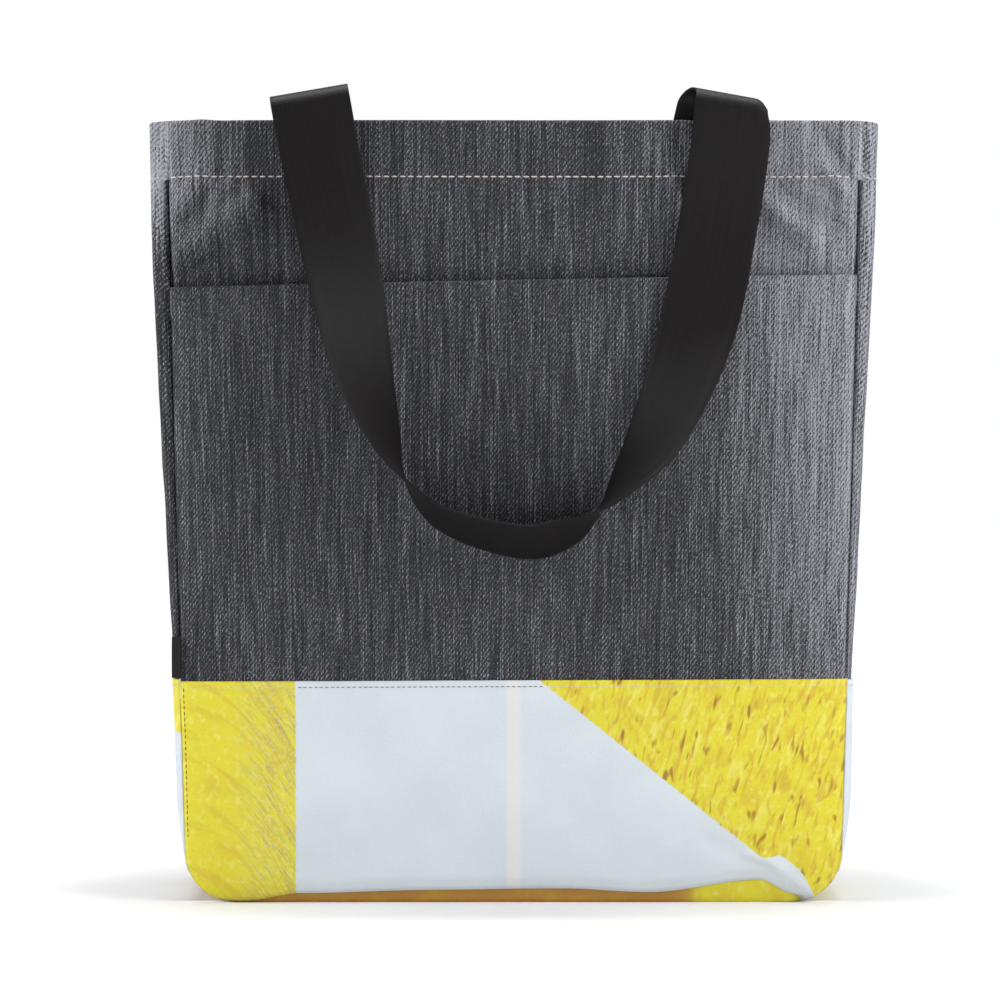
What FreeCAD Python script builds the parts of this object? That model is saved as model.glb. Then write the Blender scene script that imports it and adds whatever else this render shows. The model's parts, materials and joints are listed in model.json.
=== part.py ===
import FreeCAD, Part

import math
import os

from FreeCAD import Matrix, Vector

# Foldable tote bag: denim body, coated cloth base, front pocket, two webbing handles.
# Millimetres. X runs across the front, -Y points to the front, +Z is up.
# The origin is on the ground, in the middle of the standing bag.

# Body
rim_height = 400.0          # ground to the top edge of the hem
rim_half_width = 178.0      # half the front panel, seam to seam, at the rim
base_half_width = 168.0     # the same at the foot of the side seams
foot_height = 18.0          # radius of the rounded bottom corners
body_depth = 100.0          # outer face of the front panel to outer face of the back panel
denim = 1.2                 # thickness of the denim
vinyl = 1.0                 # thickness of the coated cloth
hem_depth = 29.0            # how far the rim is turned in
hem_turn = 1.0              # thickness that the turned cloth adds inside

# Side gussets, each creased down its middle so that it folds inwards
gusset_bulge = 6.0          # how far the crease stands out at rest
seam_set_in = 3.0           # seam's fold line, inside the inner face of a panel
crease_gap = 0.4            # from a gusset half to the fold line of the crease

# Base band
band_top = 114.0            # top edge of the coated cloth
band_lap = 10.0             # how far it laps over the denim
lap_step = 2.0              # height of the step where the lap stands out

# Front pocket
pocket_top = 318.0          # its open mouth
pocket_gap = 6.0            # how far the cloth stands off the front panel
pocket_margin = 6.0         # width of the sewn edge
pocket_ramp = 30.0          # from a sewn edge to the full gap

# Seam bindings, the tape over the raw edges inside
binding_width = 7.0
binding_thickness = 2.0
binding_set_in = 3.0        # from the panel's edge

# Folded label in the left front seam
label_height = 21.0
label_width = 5.5
label_thickness = 1.0

# Handles
webbing_width = 40.0
webbing_thickness = 1.6
handle_spacing = 216.0      # between the middles of a handle's two legs, at the rim
front_handle_shift = 6.0    # the front handle hangs this far off centre
arch_radius = 7.5           # middle of the webbing where it turns over the rim
arch_rise = 6.5             # centre of that turn above the rim
sewn_length = 36.0          # webbing below the centre of the turn, inside the bag
loop_bottom = 184.0         # middle of the webbing at the bottom of the hanging loop
leg_lean = 11.0             # degrees by which a leg leans towards the middle
leg_pull = 145.0            # how long the leg keeps its lean
bottom_pull = 68.0          # how long the bottom of the loop keeps level
loop_twist = 114.0          # degrees by which the webbing has turned at the bottom
twist_delay = 1.12          # above 1, the webbing turns later on its way down
loop_clearance = 1.0        # webbing to the pocket behind it
loop_steps = 12             # sections in one half of the loop

# Fits
clearance = 0.3             # between pieces that move apart

half_depth = body_depth / 2
inner_face = half_depth - denim
seam_line = inner_face - seam_set_in
panel_inset = vinyl + clearance
arch_out = arch_radius - denim - hem_turn - webbing_thickness / 2
arch_height = rim_height + arch_rise
wide = 2 * rim_half_width


def half_width(height):
    """Half the width of the front, seam to seam, at a height."""
    share = (height - foot_height) / (rim_height - foot_height)
    return base_half_width + share * (rim_half_width - base_half_width)


def prism(points, direction):
    """Solid made by pushing a flat polygon along a vector."""
    face = Part.Face(Part.makePolygon(points + [points[0]]))
    return face.extrude(direction)


def along_x(section):
    """Solid with the given (y, z) section, wider than the bag."""
    points = [Vector(-wide, y, z) for y, z in section]
    return prism(points, Vector(2 * wide, 0, 0))


def along_z(plan, low, high):
    """Solid with the given (x, y) plan between two heights."""
    points = [Vector(x, y, low) for x, y in plan]
    return prism(points, Vector(0, 0, high - low))


def body_outline(inset, top):
    """Solid of the bag's front outline with rounded bottom corners, drawn in by inset."""
    radius = foot_height - inset
    corner_x = base_half_width - foot_height
    slant = radius * math.sqrt(0.5)
    edges = []
    corners = []
    for side in (-1, 1):
        foot = Vector(side * (base_half_width - inset), -wide, foot_height)
        middle = Vector(side * (corner_x + slant), -wide, foot_height - slant)
        bottom = Vector(side * corner_x, -wide, inset)
        upper = Vector(side * (half_width(top) - inset), -wide, top)
        edges.append(Part.LineSegment(upper, foot).toShape())
        edges.append(Part.Arc(foot, middle, bottom).toShape())
        corners.append((upper, bottom))
    edges.append(Part.LineSegment(corners[0][0], corners[1][0]).toShape())
    edges.append(Part.LineSegment(corners[0][1], corners[1][1]).toShape())
    wire = Part.Wire(Part.__sortEdges__(edges))
    return Part.Face(wire).extrude(Vector(0, 2 * wide, 0))


def mirror_x(shape):
    """The same piece on the other side of the bag."""
    return shape.mirror(Vector(0, 0, 0), Vector(1, 0, 0))


def mirror_y(shape):
    """The same piece at the back of the bag."""
    return shape.mirror(Vector(0, 0, 0), Vector(0, 1, 0))


def front_panel():
    """Denim of the front, with its rim turned in as a hem."""
    hem_low = rim_height - hem_depth
    low = band_top - band_lap
    section = [
        (-half_depth, low),
        (-inner_face, low),
        (-inner_face, hem_low),
        (-inner_face + hem_turn, hem_low),
        (-inner_face + hem_turn, rim_height),
        (-half_depth, rim_height),
    ]
    return along_x(section).common(body_outline(panel_inset, rim_height))


def base_band(lap_out):
    """Coated cloth at the foot of the front; its top laps over the denim, lap_out from it."""
    low = panel_inset
    step_low = band_top - band_lap - clearance - lap_step
    step_high = step_low + lap_step
    lap_inner = -half_depth - lap_out
    section = [
        (-half_depth, low),
        (-half_depth + vinyl, low),
        (-half_depth + vinyl, step_high),
        (lap_inner, step_high),
        (lap_inner, band_top),
        (lap_inner - vinyl, band_top),
        (lap_inner - vinyl, step_low),
        (-half_depth, step_low),
    ]
    return along_x(section).common(body_outline(panel_inset, rim_height))


def pocket():
    """Pocket cloth, sewn at both sides and at the foot, standing off the panel at its mouth."""
    low = band_top - band_lap
    edge = half_width(pocket_top)
    face = -half_depth
    outer = face - pocket_gap - denim
    outer_plan = [
        (-edge, face),
        (-edge, face - denim),
        (-edge + pocket_ramp, outer),
        (edge - pocket_ramp, outer),
        (edge, face - denim),
        (edge, face),
    ]
    foot = low + band_lap + pocket_margin
    outer_section = [
        (face, low),
        (face - denim, low),
        (face - denim, foot),
        (outer, foot + pocket_ramp),
        (outer, pocket_top),
        (face, pocket_top),
    ]
    shell = along_z(outer_plan, low, pocket_top).common(along_x(outer_section))
    inner = face - pocket_gap
    room_plan = [
        (-edge + 2 * pocket_margin, face),
        (-edge + pocket_ramp + denim, inner),
        (edge - pocket_ramp - denim, inner),
        (edge - 2 * pocket_margin, face),
    ]
    room_section = [
        (face, foot + denim),
        (inner, foot + pocket_ramp + denim),
        (inner, pocket_top + denim),
        (face, pocket_top + denim),
    ]
    room = along_z(room_plan, low, pocket_top + denim).common(along_x(room_section))
    return shell.cut(room).common(body_outline(panel_inset, rim_height))


def bottom_panel():
    """Coated cloth under the bag, turned up at both sides round the rounded corners."""
    outer = body_outline(0, rim_height)
    inner = body_outline(vinyl, rim_height)
    below = Part.makeBox(2 * wide, body_depth, foot_height, Vector(-wide, -half_depth, 0))
    return outer.cut(inner).common(below)


def gusset_half(low, high):
    """Right gusset from its front seam to its crease, between two heights."""
    out = Vector(gusset_bulge, seam_line, 0)
    length = out.Length
    out.normalize()
    ends = []
    for height in (low, high):
        ends.append(Vector(half_width(height) - denim, -seam_line, height))
    along = (ends[1] - ends[0]).normalize()
    normal = along.cross(out)
    normal.normalize()
    stub = inner_face - hem_turn - clearance - seam_line
    start = out * -stub
    finish = out * (length - crease_gap)
    shift = normal * (-denim / 2)
    points = [ends[0] + start, ends[0] + finish, ends[1] + finish, ends[1] + start]
    return prism([point + shift for point in points], normal * denim)


def side_binding():
    """Tape on the raw edges of the right front seam, lying on the front panel."""
    low = foot_height + clearance
    high = rim_height - hem_depth
    face = -inner_face
    points = []
    for height in (low, high):
        edge = half_width(height) - panel_inset - binding_set_in
        points.append((Vector(edge, face, height), Vector(edge - binding_width, face, height)))
    corners = [points[0][0], points[0][1], points[1][1], points[1][0]]
    return prism(corners, Vector(0, binding_thickness, 0))


def bottom_binding():
    """Tape on the raw edges of the front bottom seam."""
    reach = base_half_width - foot_height
    low = 2 * vinyl + clearance
    corner = Vector(-reach, -half_depth + vinyl, low)
    return Part.makeBox(2 * reach, binding_thickness, binding_width, corner)


def label():
    """Folded label that stands out of the left front seam, above the base band."""
    low = band_top + vinyl
    edge = half_width(low + label_height) - panel_inset + clearance
    corner = Vector(-edge - label_width, -half_depth - label_thickness, low)
    return Part.makeBox(label_width, label_thickness, label_height, corner)


def place_leg(shape, side, shift):
    """Leans a piece made about the turn of a leg, and puts it on its side of the rim."""
    turned = shape.copy()
    turned.rotate(Vector(0, 0, 0), Vector(0, 1, 0), side * leg_lean)
    turned.translate(Vector(side * handle_spacing / 2 + shift, -half_depth - arch_out, arch_height))
    return turned


def handle_end():
    """Sewn end of a leg, inside the hem, from the centre of the turn down."""
    corner = Vector(-webbing_width / 2, arch_radius - webbing_thickness / 2, -sewn_length)
    return Part.makeBox(webbing_width, webbing_thickness, sewn_length, corner)


def handle_bend():
    """Half turn of webbing over the rim, about the X axis."""
    start = Vector(-webbing_width / 2, 0, 0)
    outer = Part.makeCylinder(arch_radius + webbing_thickness / 2, webbing_width, start, Vector(1, 0, 0))
    inner = Part.makeCylinder(arch_radius - webbing_thickness / 2, webbing_width, start, Vector(1, 0, 0))
    above = Part.makeBox(webbing_width, wide, wide, Vector(-webbing_width / 2, 0, 0))
    outside = Part.makeBox(webbing_width, wide, wide, Vector(-webbing_width / 2, -wide, clearance))
    return outer.cut(inner).common(above.fuse(outside)).removeSplitter()


def loop_point(share):
    """Middle of the webbing on the right half of the loop: 0 at the turn, 1 at the bottom."""
    lean = math.radians(leg_lean)
    start = Vector(handle_spacing / 2, 0, arch_height)
    first = start - Vector(math.sin(lean), 0, math.cos(lean)) * leg_pull
    last = Vector(0, 0, loop_bottom)
    second = last + Vector(bottom_pull, 0, 0)
    rest = 1 - share
    point = start * rest ** 3 + first * (3 * rest ** 2 * share)
    point = point + second * (3 * rest * share ** 2) + last * share ** 3
    against = pocket_gap + denim + loop_clearance + webbing_thickness / 2
    top_gap = arch_out + arch_radius - against
    stand_out = against + top_gap * rest ** 2
    stand_out = stand_out + webbing_width / 2 * math.sin(loop_turn(share))
    return Vector(point.x, -half_depth - stand_out, point.z)


def loop_turn(share):
    """Radians by which the webbing has turned about its own length."""
    delayed = share ** twist_delay
    return math.radians(loop_twist) * delayed * delayed * (3 - 2 * delayed)


def loop_section(share):
    """Four corners of the webbing on the right half of the loop."""
    step = 0.001
    if share == 0:
        lean = math.radians(leg_lean)
        tangent = Vector(-math.sin(lean), 0, -math.cos(lean))
    elif share == 1:
        tangent = Vector(-1, 0, 0)
    else:
        tangent = (loop_point(share + step) - loop_point(share - step)).normalize()
    inward = Vector(0, 1, 0).cross(tangent).normalize()
    back = tangent.cross(inward).normalize()
    turn = loop_turn(share)
    across = inward * math.cos(turn) + back * math.sin(turn)
    normal = tangent.cross(across)
    middle = loop_point(share)
    corners = []
    for along, off in ((-1, -1), (1, -1), (1, 1), (-1, 1)):
        corner = middle + across * (along * webbing_width / 2)
        corners.append(corner + normal * (off * webbing_thickness / 2))
    return corners


def handle_loop():
    """The hanging loop of the front handle, from turn to turn, centred on X = 0."""
    wires = []
    for step in range(-loop_steps, loop_steps + 1):
        side = 1 if step > 0 else -1
        corners = loop_section(1 - abs(step) / loop_steps)
        corners = [Vector(side * corner.x, corner.y, corner.z) for corner in corners]
        wires.append(Part.makePolygon(corners + [corners[0]]))
    return Part.makeLoft(wires, True, True)


def add_handle(parts, name, shift, place):
    """Adds one handle's two sewn ends, two turns and its loop."""
    for side, side_name in ((-1, "left"), (1, "right")):
        parts[f"{name}_{side_name}_end"] = place(place_leg(handle_end(), side, shift))
        parts[f"{name}_{side_name}_bend"] = place(place_leg(handle_bend(), side, shift))
    loop = handle_loop()
    loop.translate(Vector(shift, 0, 0))
    parts[name] = place(loop)


def build():
    """All pieces of the bag, by name."""
    parts = {}
    parts["front_panel"] = front_panel()
    parts["back_panel"] = mirror_y(front_panel())
    parts["front_base_band"] = base_band(denim + clearance)
    parts["back_base_band"] = mirror_y(base_band(clearance))
    parts["front_pocket"] = pocket()
    parts["bottom_panel"] = bottom_panel()
    parts["side_label"] = label()

    gusset_pieces = (
        ("panel", band_top, rim_height),
        ("base", foot_height + clearance, band_top - clearance),
    )
    for name, low, high in gusset_pieces:
        right_front = gusset_half(low, high)
        parts[f"right_gusset_front_{name}"] = right_front
        parts[f"right_gusset_rear_{name}"] = mirror_y(right_front)
        parts[f"left_gusset_front_{name}"] = mirror_x(right_front)
        parts[f"left_gusset_rear_{name}"] = mirror_x(mirror_y(right_front))

    right_front = side_binding()
    parts["right_front_seam_binding"] = right_front
    parts["right_rear_seam_binding"] = mirror_y(right_front)
    parts["left_front_seam_binding"] = mirror_x(right_front)
    parts["left_rear_seam_binding"] = mirror_x(mirror_y(right_front))
    parts["front_bottom_seam_binding"] = bottom_binding()
    parts["back_bottom_seam_binding"] = mirror_y(bottom_binding())

    add_handle(parts, "front_handle", front_handle_shift, lambda shape: shape)
    add_handle(parts, "back_handle", 0, mirror_y)
    return parts


os.makedirs("parts", exist_ok=True)
for node, shape in build().items():
    shape.exportStep(f"parts/{node}.step")
    print(node, len(shape.Solids), shape.isValid(), round(shape.Volume, 1))
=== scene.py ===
"""Looks of a foldable tote bag: slubby denim, a printed coated base and webbing handles."""

import json
import logging
import math
from dataclasses import dataclass
from enum import Enum
from typing import Callable, Sequence

import bmesh
import bpy
from mathutils import Matrix, Vector, noise


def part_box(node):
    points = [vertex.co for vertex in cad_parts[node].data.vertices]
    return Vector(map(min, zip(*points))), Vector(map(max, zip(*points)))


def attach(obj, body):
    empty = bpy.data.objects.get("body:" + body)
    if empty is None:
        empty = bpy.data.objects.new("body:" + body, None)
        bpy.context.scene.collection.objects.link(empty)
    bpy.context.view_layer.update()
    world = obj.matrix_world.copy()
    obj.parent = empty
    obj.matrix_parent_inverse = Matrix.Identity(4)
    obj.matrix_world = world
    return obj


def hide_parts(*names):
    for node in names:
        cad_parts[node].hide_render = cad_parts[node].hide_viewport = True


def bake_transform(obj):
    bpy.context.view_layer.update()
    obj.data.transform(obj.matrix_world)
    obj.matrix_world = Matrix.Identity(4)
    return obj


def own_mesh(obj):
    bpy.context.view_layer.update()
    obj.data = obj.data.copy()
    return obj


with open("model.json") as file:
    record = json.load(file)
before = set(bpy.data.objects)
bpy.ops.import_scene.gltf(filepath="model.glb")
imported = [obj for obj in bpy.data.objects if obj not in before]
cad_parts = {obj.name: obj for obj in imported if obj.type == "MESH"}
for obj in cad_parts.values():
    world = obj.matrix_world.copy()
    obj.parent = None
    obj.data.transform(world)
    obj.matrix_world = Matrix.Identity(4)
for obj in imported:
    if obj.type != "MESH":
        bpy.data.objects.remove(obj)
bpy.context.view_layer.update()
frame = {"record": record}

LOG = logging.getLogger("tote_bag")
Place = Callable[[float, float], Vector]
Colour = tuple[float, float, float]
Flat = tuple[float, float]
Material = bpy.types.Material
Piece = bpy.types.Object
Socket = bpy.types.NodeSocket

NOISE_MIDDLE = 0.5
FOOT_ROUNDNESS = 1.45
DENIM = 0.0011
POCKET_DENIM = 0.0010
COATED = 0.0009
BOTTOM_CLOTH = 0.0010
DENIM_FOLD = 0.00125
POCKET_FOLD = 0.0011
COATED_FOLD = 0.00085
POCKET_TURN = 0.014
BAND_TURN = 0.008
BAND_ROW = 0.0032
PANEL_CUT = (0.356, 0.33)
POCKET_CUT = (0.352, 0.232)
BAND_CUT = (0.342, 0.124)
GUSSET_CUT = (0.094, 0.33)
GUSSET_BASE_CUT = (0.094, 0.115)


def smooth(value: float, low: float, high: float) -> float:
    """Eases from 0 at low to 1 at high.

    Args:
        value: the number to ease.
        low: where the result is 0.
        high: where the result is 1.

    Returns:
        A number from 0 to 1.
    """
    share = min(max((value - low) / (high - low), 0.0), 1.0)
    return share * share * (3 - 2 * share)


def spaced(low: float, high: float, step: float) -> list[float]:
    """Evenly spaced values from low to high, no further apart than step.

    Args:
        low: the first value.
        high: the last value.
        step: the widest gap.

    Returns:
        The values, both ends included.
    """
    count = max(1, math.ceil((high - low) / step - 1e-6))
    return [low + (high - low) * i / count for i in range(count + 1)]


def edged(low: float, high: float, edge: float, fine: float, coarse: float) -> list[float]:
    """Values from low to high that lie closer together near both ends.

    Args:
        low: the first value.
        high: the last value.
        edge: length of each fine stretch.
        fine: the widest gap there.
        coarse: the widest gap between them.

    Returns:
        The values, both ends included.
    """
    middle = spaced(low + edge, high - edge, coarse)[1:]
    return spaced(low, low + edge, fine) + middle + spaced(high - edge, high, fine)[1:]


def half_turn(point: Vector) -> Vector:
    """The point turned half round the upright axis."""
    return Vector((-point.x, -point.y, point.z))


def turned_round(place: Place) -> Place:
    """A place for the same cloth on the other side of the bag, turned about the upright axis.

    Args:
        place: where the cloth lies on its own side.

    Returns:
        The place on the opposite side.
    """
    def opposite(s: float, t: float) -> Vector:
        """The turned point."""
        return half_turn(place(s, t))
    return opposite


# ---------------------------------------------------------------------------- the form


@dataclass(frozen=True)
class Fold:
    """A soft ridge along a short line on a face, or a valley where height is negative.

    Attributes:
        start: across and up, in metres.
        end: the other end of the line.
        height: how far the ridge stands out.
        width: distance at which it has died away to about a third.
    """

    start: tuple[float, float]
    end: tuple[float, float]
    height: float
    width: float

    def lift(self, across: float, up: float) -> float:
        """How far the cloth stands out at a point because of this fold.

        Args:
            across: the point's place across the face.
            up: its height.

        Returns:
            Metres outwards.
        """
        run = (self.end[0] - self.start[0], self.end[1] - self.start[1])
        gap = (across - self.start[0], up - self.start[1])
        share = (gap[0] * run[0] + gap[1] * run[1]) / (run[0] ** 2 + run[1] ** 2)
        share = min(max(share, 0.0), 1.0)
        distance = math.hypot(gap[0] - share * run[0], gap[1] - share * run[1])
        if distance > 3 * self.width:
            return 0.0
        return self.height * math.exp(-(distance / self.width) ** 2)


@dataclass(frozen=True)
class Ripple:
    """A soft unevenness of a cloth.

    Attributes:
        across: bends across it.
        up: bends per metre up it.
        layer: which layer of the noise it is taken from.
        height: metres at most.
    """

    across: float
    up: float
    layer: float
    height: float

    def lift(self, across: float, up: float, side: int = 1) -> float:
        """How far the cloth stands out at a point.

        Args:
            across: the point's place across the cloth.
            up: its height.
            side: -1 for the left side of the bag, so that the sides differ.

        Returns:
            Metres outwards.
        """
        return noise.noise(Vector((across * self.across, up * self.up, self.layer * side))) * self.height


@dataclass(frozen=True)
class Ridge:
    """A level ridge or groove over a whole face.

    Attributes:
        height: how far it stands out or sinks in.
        below: how far it lies under the edge that it belongs to.
        width: distance at which it has died away to about a third.
    """

    height: float
    below: float
    width: float

    def lift(self, above: float) -> float:
        """Its height at a distance above the edge that it belongs to."""
        return self.height * math.exp(-((above + self.below) / self.width) ** 2)


PANEL_FOLDS = (
    Fold((-0.1735, 0.352), (-0.1643, 0.366), 0.0022, 0.0034),
    Fold((-0.1685, 0.350), (-0.1617, 0.364), -0.0016, 0.0030),
    Fold((-0.1520, 0.353), (-0.1480, 0.368), 0.0014, 0.0040),
    Fold((-0.1745, 0.328), (-0.1340, 0.357), 0.0032, 0.0065),
    Fold((-0.1690, 0.321), (-0.1525, 0.338), -0.0020, 0.0038),
    Fold((-0.1735, 0.318), (-0.1576, 0.326), 0.0015, 0.0030),
    Fold((-0.1600, 0.372), (-0.1590, 0.398), 0.0013, 0.0045),
    Fold((-0.1480, 0.372), (-0.1470, 0.398), -0.0010, 0.0040),
    Fold((0.1570, 0.394), (0.1690, 0.375), -0.0020, 0.0040),
    Fold((0.1350, 0.364), (0.1690, 0.343), -0.0020, 0.0055),
    Fold((0.1290, 0.358), (0.1495, 0.341), 0.0024, 0.0060),
    Fold((0.1610, 0.374), (0.1690, 0.362), 0.0016, 0.0040),
    Fold((0.0815, 0.370), (0.0880, 0.355), 0.0010, 0.0030),
)
POCKET_FOLDS = (
    Fold((-0.1720, 0.309), (-0.1500, 0.3125), 0.0010, 0.0040),
    Fold((-0.1680, 0.160), (-0.1300, 0.1350), -0.0012, 0.0160),
    Fold((0.1250, 0.150), (0.1650, 0.1900), -0.0012, 0.0180),
    Fold((-0.0400, 0.130), (0.0600, 0.1260), -0.0008, 0.0140),
)
BAND_FOLDS = (
    Fold((0.1210, 0.0230), (0.1500, 0.0060), 0.0022, 0.0045),
    Fold((0.1490, 0.0220), (0.1500, 0.0180), 0.0020, 0.0060),
    Fold((0.1000, 0.0300), (0.1180, 0.0220), -0.0012, 0.0060),
    Fold((-0.1500, 0.0200), (-0.1350, 0.0080), 0.0012, 0.0060),
    Fold((0.1320, 0.0800), (0.1420, 0.0640), 0.0008, 0.0060),
    Fold((-0.0600, 0.0300), (0.0300, 0.0240), -0.0008, 0.0150),
)


@dataclass(frozen=True)
class BagForm:
    """Outline and depth of the standing bag, worked out from the frame's nodes.

    Attributes:
        rim: height of the top edge.
        hem: height of the hem's stitching.
        rim_half: half the front's width at the rim, seam to seam.
        foot: height at which the sides start to round in.
        base_half: half the front's width at the foot.
        front: outer face of the front panel.
        band_top: top edge of the base band.
        lap: how far the band laps over the denim.
        pocket_top: mouth of the pocket.
        pocket_out: how far the pocket's cloth stands out from the front.
        seam_depth: how far back from the front's face the side seams lie.
        base_slack: share of the seam's depth in the coated base.
        denim_slack: what the denim adds to it.
        hem_slack: what the hem takes off it.
        pocket_rise: how far above the band the pocket lifts, and where it is full.
        pocket_edge: distances from a side seam between which it opens.
        pocket_held: share of the opening that is left at the side seams.
        pocket_rest: how far the pocket lies off the panel.
        pocket_closed: what is taken off its opening.
        band_lift: how far the band's top edge stands out over the denim.
        band_lift_from: how far below the band's top that begins.
        band_lift_to: how far below it is full.
        gusset_swell: how far a gusset swells, low down and added higher up.
        climb_from: height at which it starts to grow.
        lip: how far a gusset swells forwards beside a seam.
        lip_share: share of the depth at which that is most.
        lip_reach: how far the swelling's edge reaches, in those shares.
    """

    rim: float
    hem: float
    rim_half: float
    foot: float
    base_half: float
    front: float
    band_top: float
    lap: float
    pocket_top: float
    pocket_out: float
    seam_depth: float = 0.0064
    crown_height: float = 0.0022
    roll: float = 0.0085
    settled: float = 0.02
    slack_step: float = 0.004
    base_slack: float = 0.30
    denim_slack: float = 0.70
    hem_slack: float = 0.50
    face_wave: Ripple = Ripple(16, 9, 3.1, 0.0014)
    face_ripple: Ripple = Ripple(48, 15, 7.7, 0.0005)
    fold_out: float = 3.0
    fold_in: float = 1.6
    fold_edge: float = 0.006
    pocket_fold_edge: float = 0.01
    hem_groove: Ridge = Ridge(0.0006, 0.0, 0.0022)
    mouth_dip: Ridge = Ridge(0.0030, 0.002, 0.011)
    pocket_rise: tuple[float, float] = (0.006, 0.09)
    pocket_edge: tuple[float, float] = (0.004, 0.060)
    pocket_held: float = 0.35
    pocket_rest: float = 0.0013
    pocket_closed: float = 0.0042
    band_lift: float = 0.0016
    band_lift_from: float = 0.030
    band_lift_to: float = 0.006
    band_groove: Ridge = Ridge(0.0004, BAND_ROW, 0.0012)
    band_under: float = 0.0016
    band_under_to: float = 0.009
    gusset_swell: tuple[float, float] = (0.0042, 0.0066)
    swell_power: float = 1.2
    climb_from: float = 0.02
    swell_rise: tuple[float, float] = (0.008, 0.055)
    swell_share: tuple[float, float] = (-0.015, 0.085)
    crease_depth: float = 0.0024
    crease_width: float = 0.05
    gusset_wave: Ripple = Ripple(3.2, 14, 11.0, 0.0017)
    gusset_ripple: Ripple = Ripple(9, 38, 5.0, 0.0006)
    gusset_settled: float = 0.12
    gusset_set: float = 0.0008
    lip: float = 0.0054
    lip_share: float = 0.042
    lip_reach: float = 1.4

    @classmethod
    def from_frame(cls) -> "BagForm":
        """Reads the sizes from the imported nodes' boxes.

        Returns:
            The form.
        """
        panel_low, panel_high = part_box("front_panel")
        band_low, band_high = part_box("front_base_band")
        pocket_low, pocket_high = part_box("front_pocket")
        _, bottom_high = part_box("bottom_panel")
        _, binding_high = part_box("right_front_seam_binding")
        return cls(
            rim=panel_high.z,
            hem=binding_high.z,
            rim_half=panel_high.x + band_low.z,
            foot=bottom_high.z * FOOT_ROUNDNESS,
            base_half=bottom_high.x,
            front=panel_low.y,
            band_top=band_high.z,
            lap=band_high.z - panel_low.z,
            pocket_top=pocket_high.z,
            pocket_out=panel_low.y - pocket_low.y,
        )

    def half_width(self, up: float) -> float:
        """Half the front's width at a height, rounded in at the foot.

        Args:
            up: height above the ground.

        Returns:
            Half the width, in metres.
        """
        if up >= self.foot:
            share = (up - self.foot) / (self.rim - self.foot)
            return self.base_half + share * (self.rim_half - self.base_half)
        below = self.foot - max(up, 0.0)
        return self.base_half - self.foot + math.sqrt(max(self.foot ** 2 - below ** 2, 0.0))

    def slack(self, up: float) -> float:
        """How deep the side seams sink at a height: little in the hem and in the coated base.

        Args:
            up: height.

        Returns:
            A share of the full depth.
        """
        denim = smooth(up, self.band_top - self.slack_step, self.band_top + self.slack_step)
        hem = smooth(up, self.hem - self.slack_step, self.hem + self.slack_step)
        return self.base_slack + self.denim_slack * denim - self.hem_slack * hem

    def crown(self, across: float, up: float) -> float:
        """How far a face stands out of its plane, before any pocket or band is added.

        Args:
            across: place across the face.
            up: height.

        Returns:
            Metres outwards, negative where the cloth rolls back into a side seam.
        """
        half = self.half_width(up)
        share = min(abs(across) / half, 1.0)
        out = self.crown_height * (1 - share ** 4)
        edge = half - abs(across)
        if edge < self.roll:
            out -= self.slack(up) * self.seam_depth * (1 - edge / self.roll) ** 3
        uneven = self.face_wave.lift(across, up) + self.face_ripple.lift(across, up)
        return out + uneven * smooth(edge, 0, self.settled)

    def panel_out(self, across: float, up: float) -> float:
        """Outward distance of the denim panel's face.

        Args:
            across: place across the face.
            up: height.

        Returns:
            Metres outwards.
        """
        edge = self.half_width(up) - abs(across)
        folds = sum(fold.lift(across, up) for fold in PANEL_FOLDS)
        folds = max(self.fold_out * folds, self.fold_in * folds) * smooth(edge, 0, self.fold_edge)
        sunk = self.hem_groove.lift(up - self.hem)
        return self.crown(across, up) + folds - sunk - self.mouth_dip.lift(up - self.pocket_top)

    def pocket_face_out(self, across: float, up: float) -> float:
        """Outward distance of the pocket's face.

        Args:
            across: place across the face.
            up: height.

        Returns:
            Metres outwards.
        """
        edge = self.half_width(up) - abs(across)
        mouth = smooth(up, self.band_top + self.pocket_rise[0], self.band_top + self.pocket_rise[1])
        opened = self.pocket_held + (1 - self.pocket_held) * smooth(edge, *self.pocket_edge)
        gap = (self.pocket_out - self.pocket_closed) * opened * mouth
        folds = sum(fold.lift(across, up) for fold in POCKET_FOLDS)
        folds *= smooth(edge, 0, self.pocket_fold_edge)
        return self.crown(across, up) + self.pocket_rest + gap + folds

    def over_denim(self, up: float) -> float:
        """How much of the band's top edge lies over the denim at a height, from 0 to 1."""
        return smooth(up, self.band_top - self.band_lift_from, self.band_top - self.band_lift_to)

    def band_out(self, across: float, up: float) -> float:
        """Outward distance of the base band's face.

        Args:
            across: place across the face.
            up: height.

        Returns:
            Metres outwards.
        """
        edge = self.half_width(up) - abs(across)
        out = self.crown(across, up) + self.band_lift * self.over_denim(up)
        folds = sum(fold.lift(across, up) for fold in BAND_FOLDS) * smooth(edge, 0, self.fold_edge)
        under = self.band_under * (1 - smooth(up, 0, self.band_under_to))
        return out + folds - self.band_groove.lift(up - self.band_top) - under

    def bottom_seam(self, across: float) -> float:
        """Height of the seam between the base band and the bottom, which wanders.

        Args:
            across: place across the face.

        Returns:
            The seam's height.
        """
        points = (
            (-0.150, 0.0012), (-0.137, 0.0012), (-0.109, 0.0050), (-0.040, 0.0068), (0.024, 0.0076),
            (0.070, 0.0056), (0.126, 0.0118), (0.142, 0.0050), (0.150, 0.0012),
        )
        if across <= points[0][0] or across >= points[-1][0]:
            return points[0][1]
        for (left, low), (right, high) in zip(points, points[1:]):
            if across <= right:
                return low + (high - low) * smooth(across, left, right)
        return points[-1][1]

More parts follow.
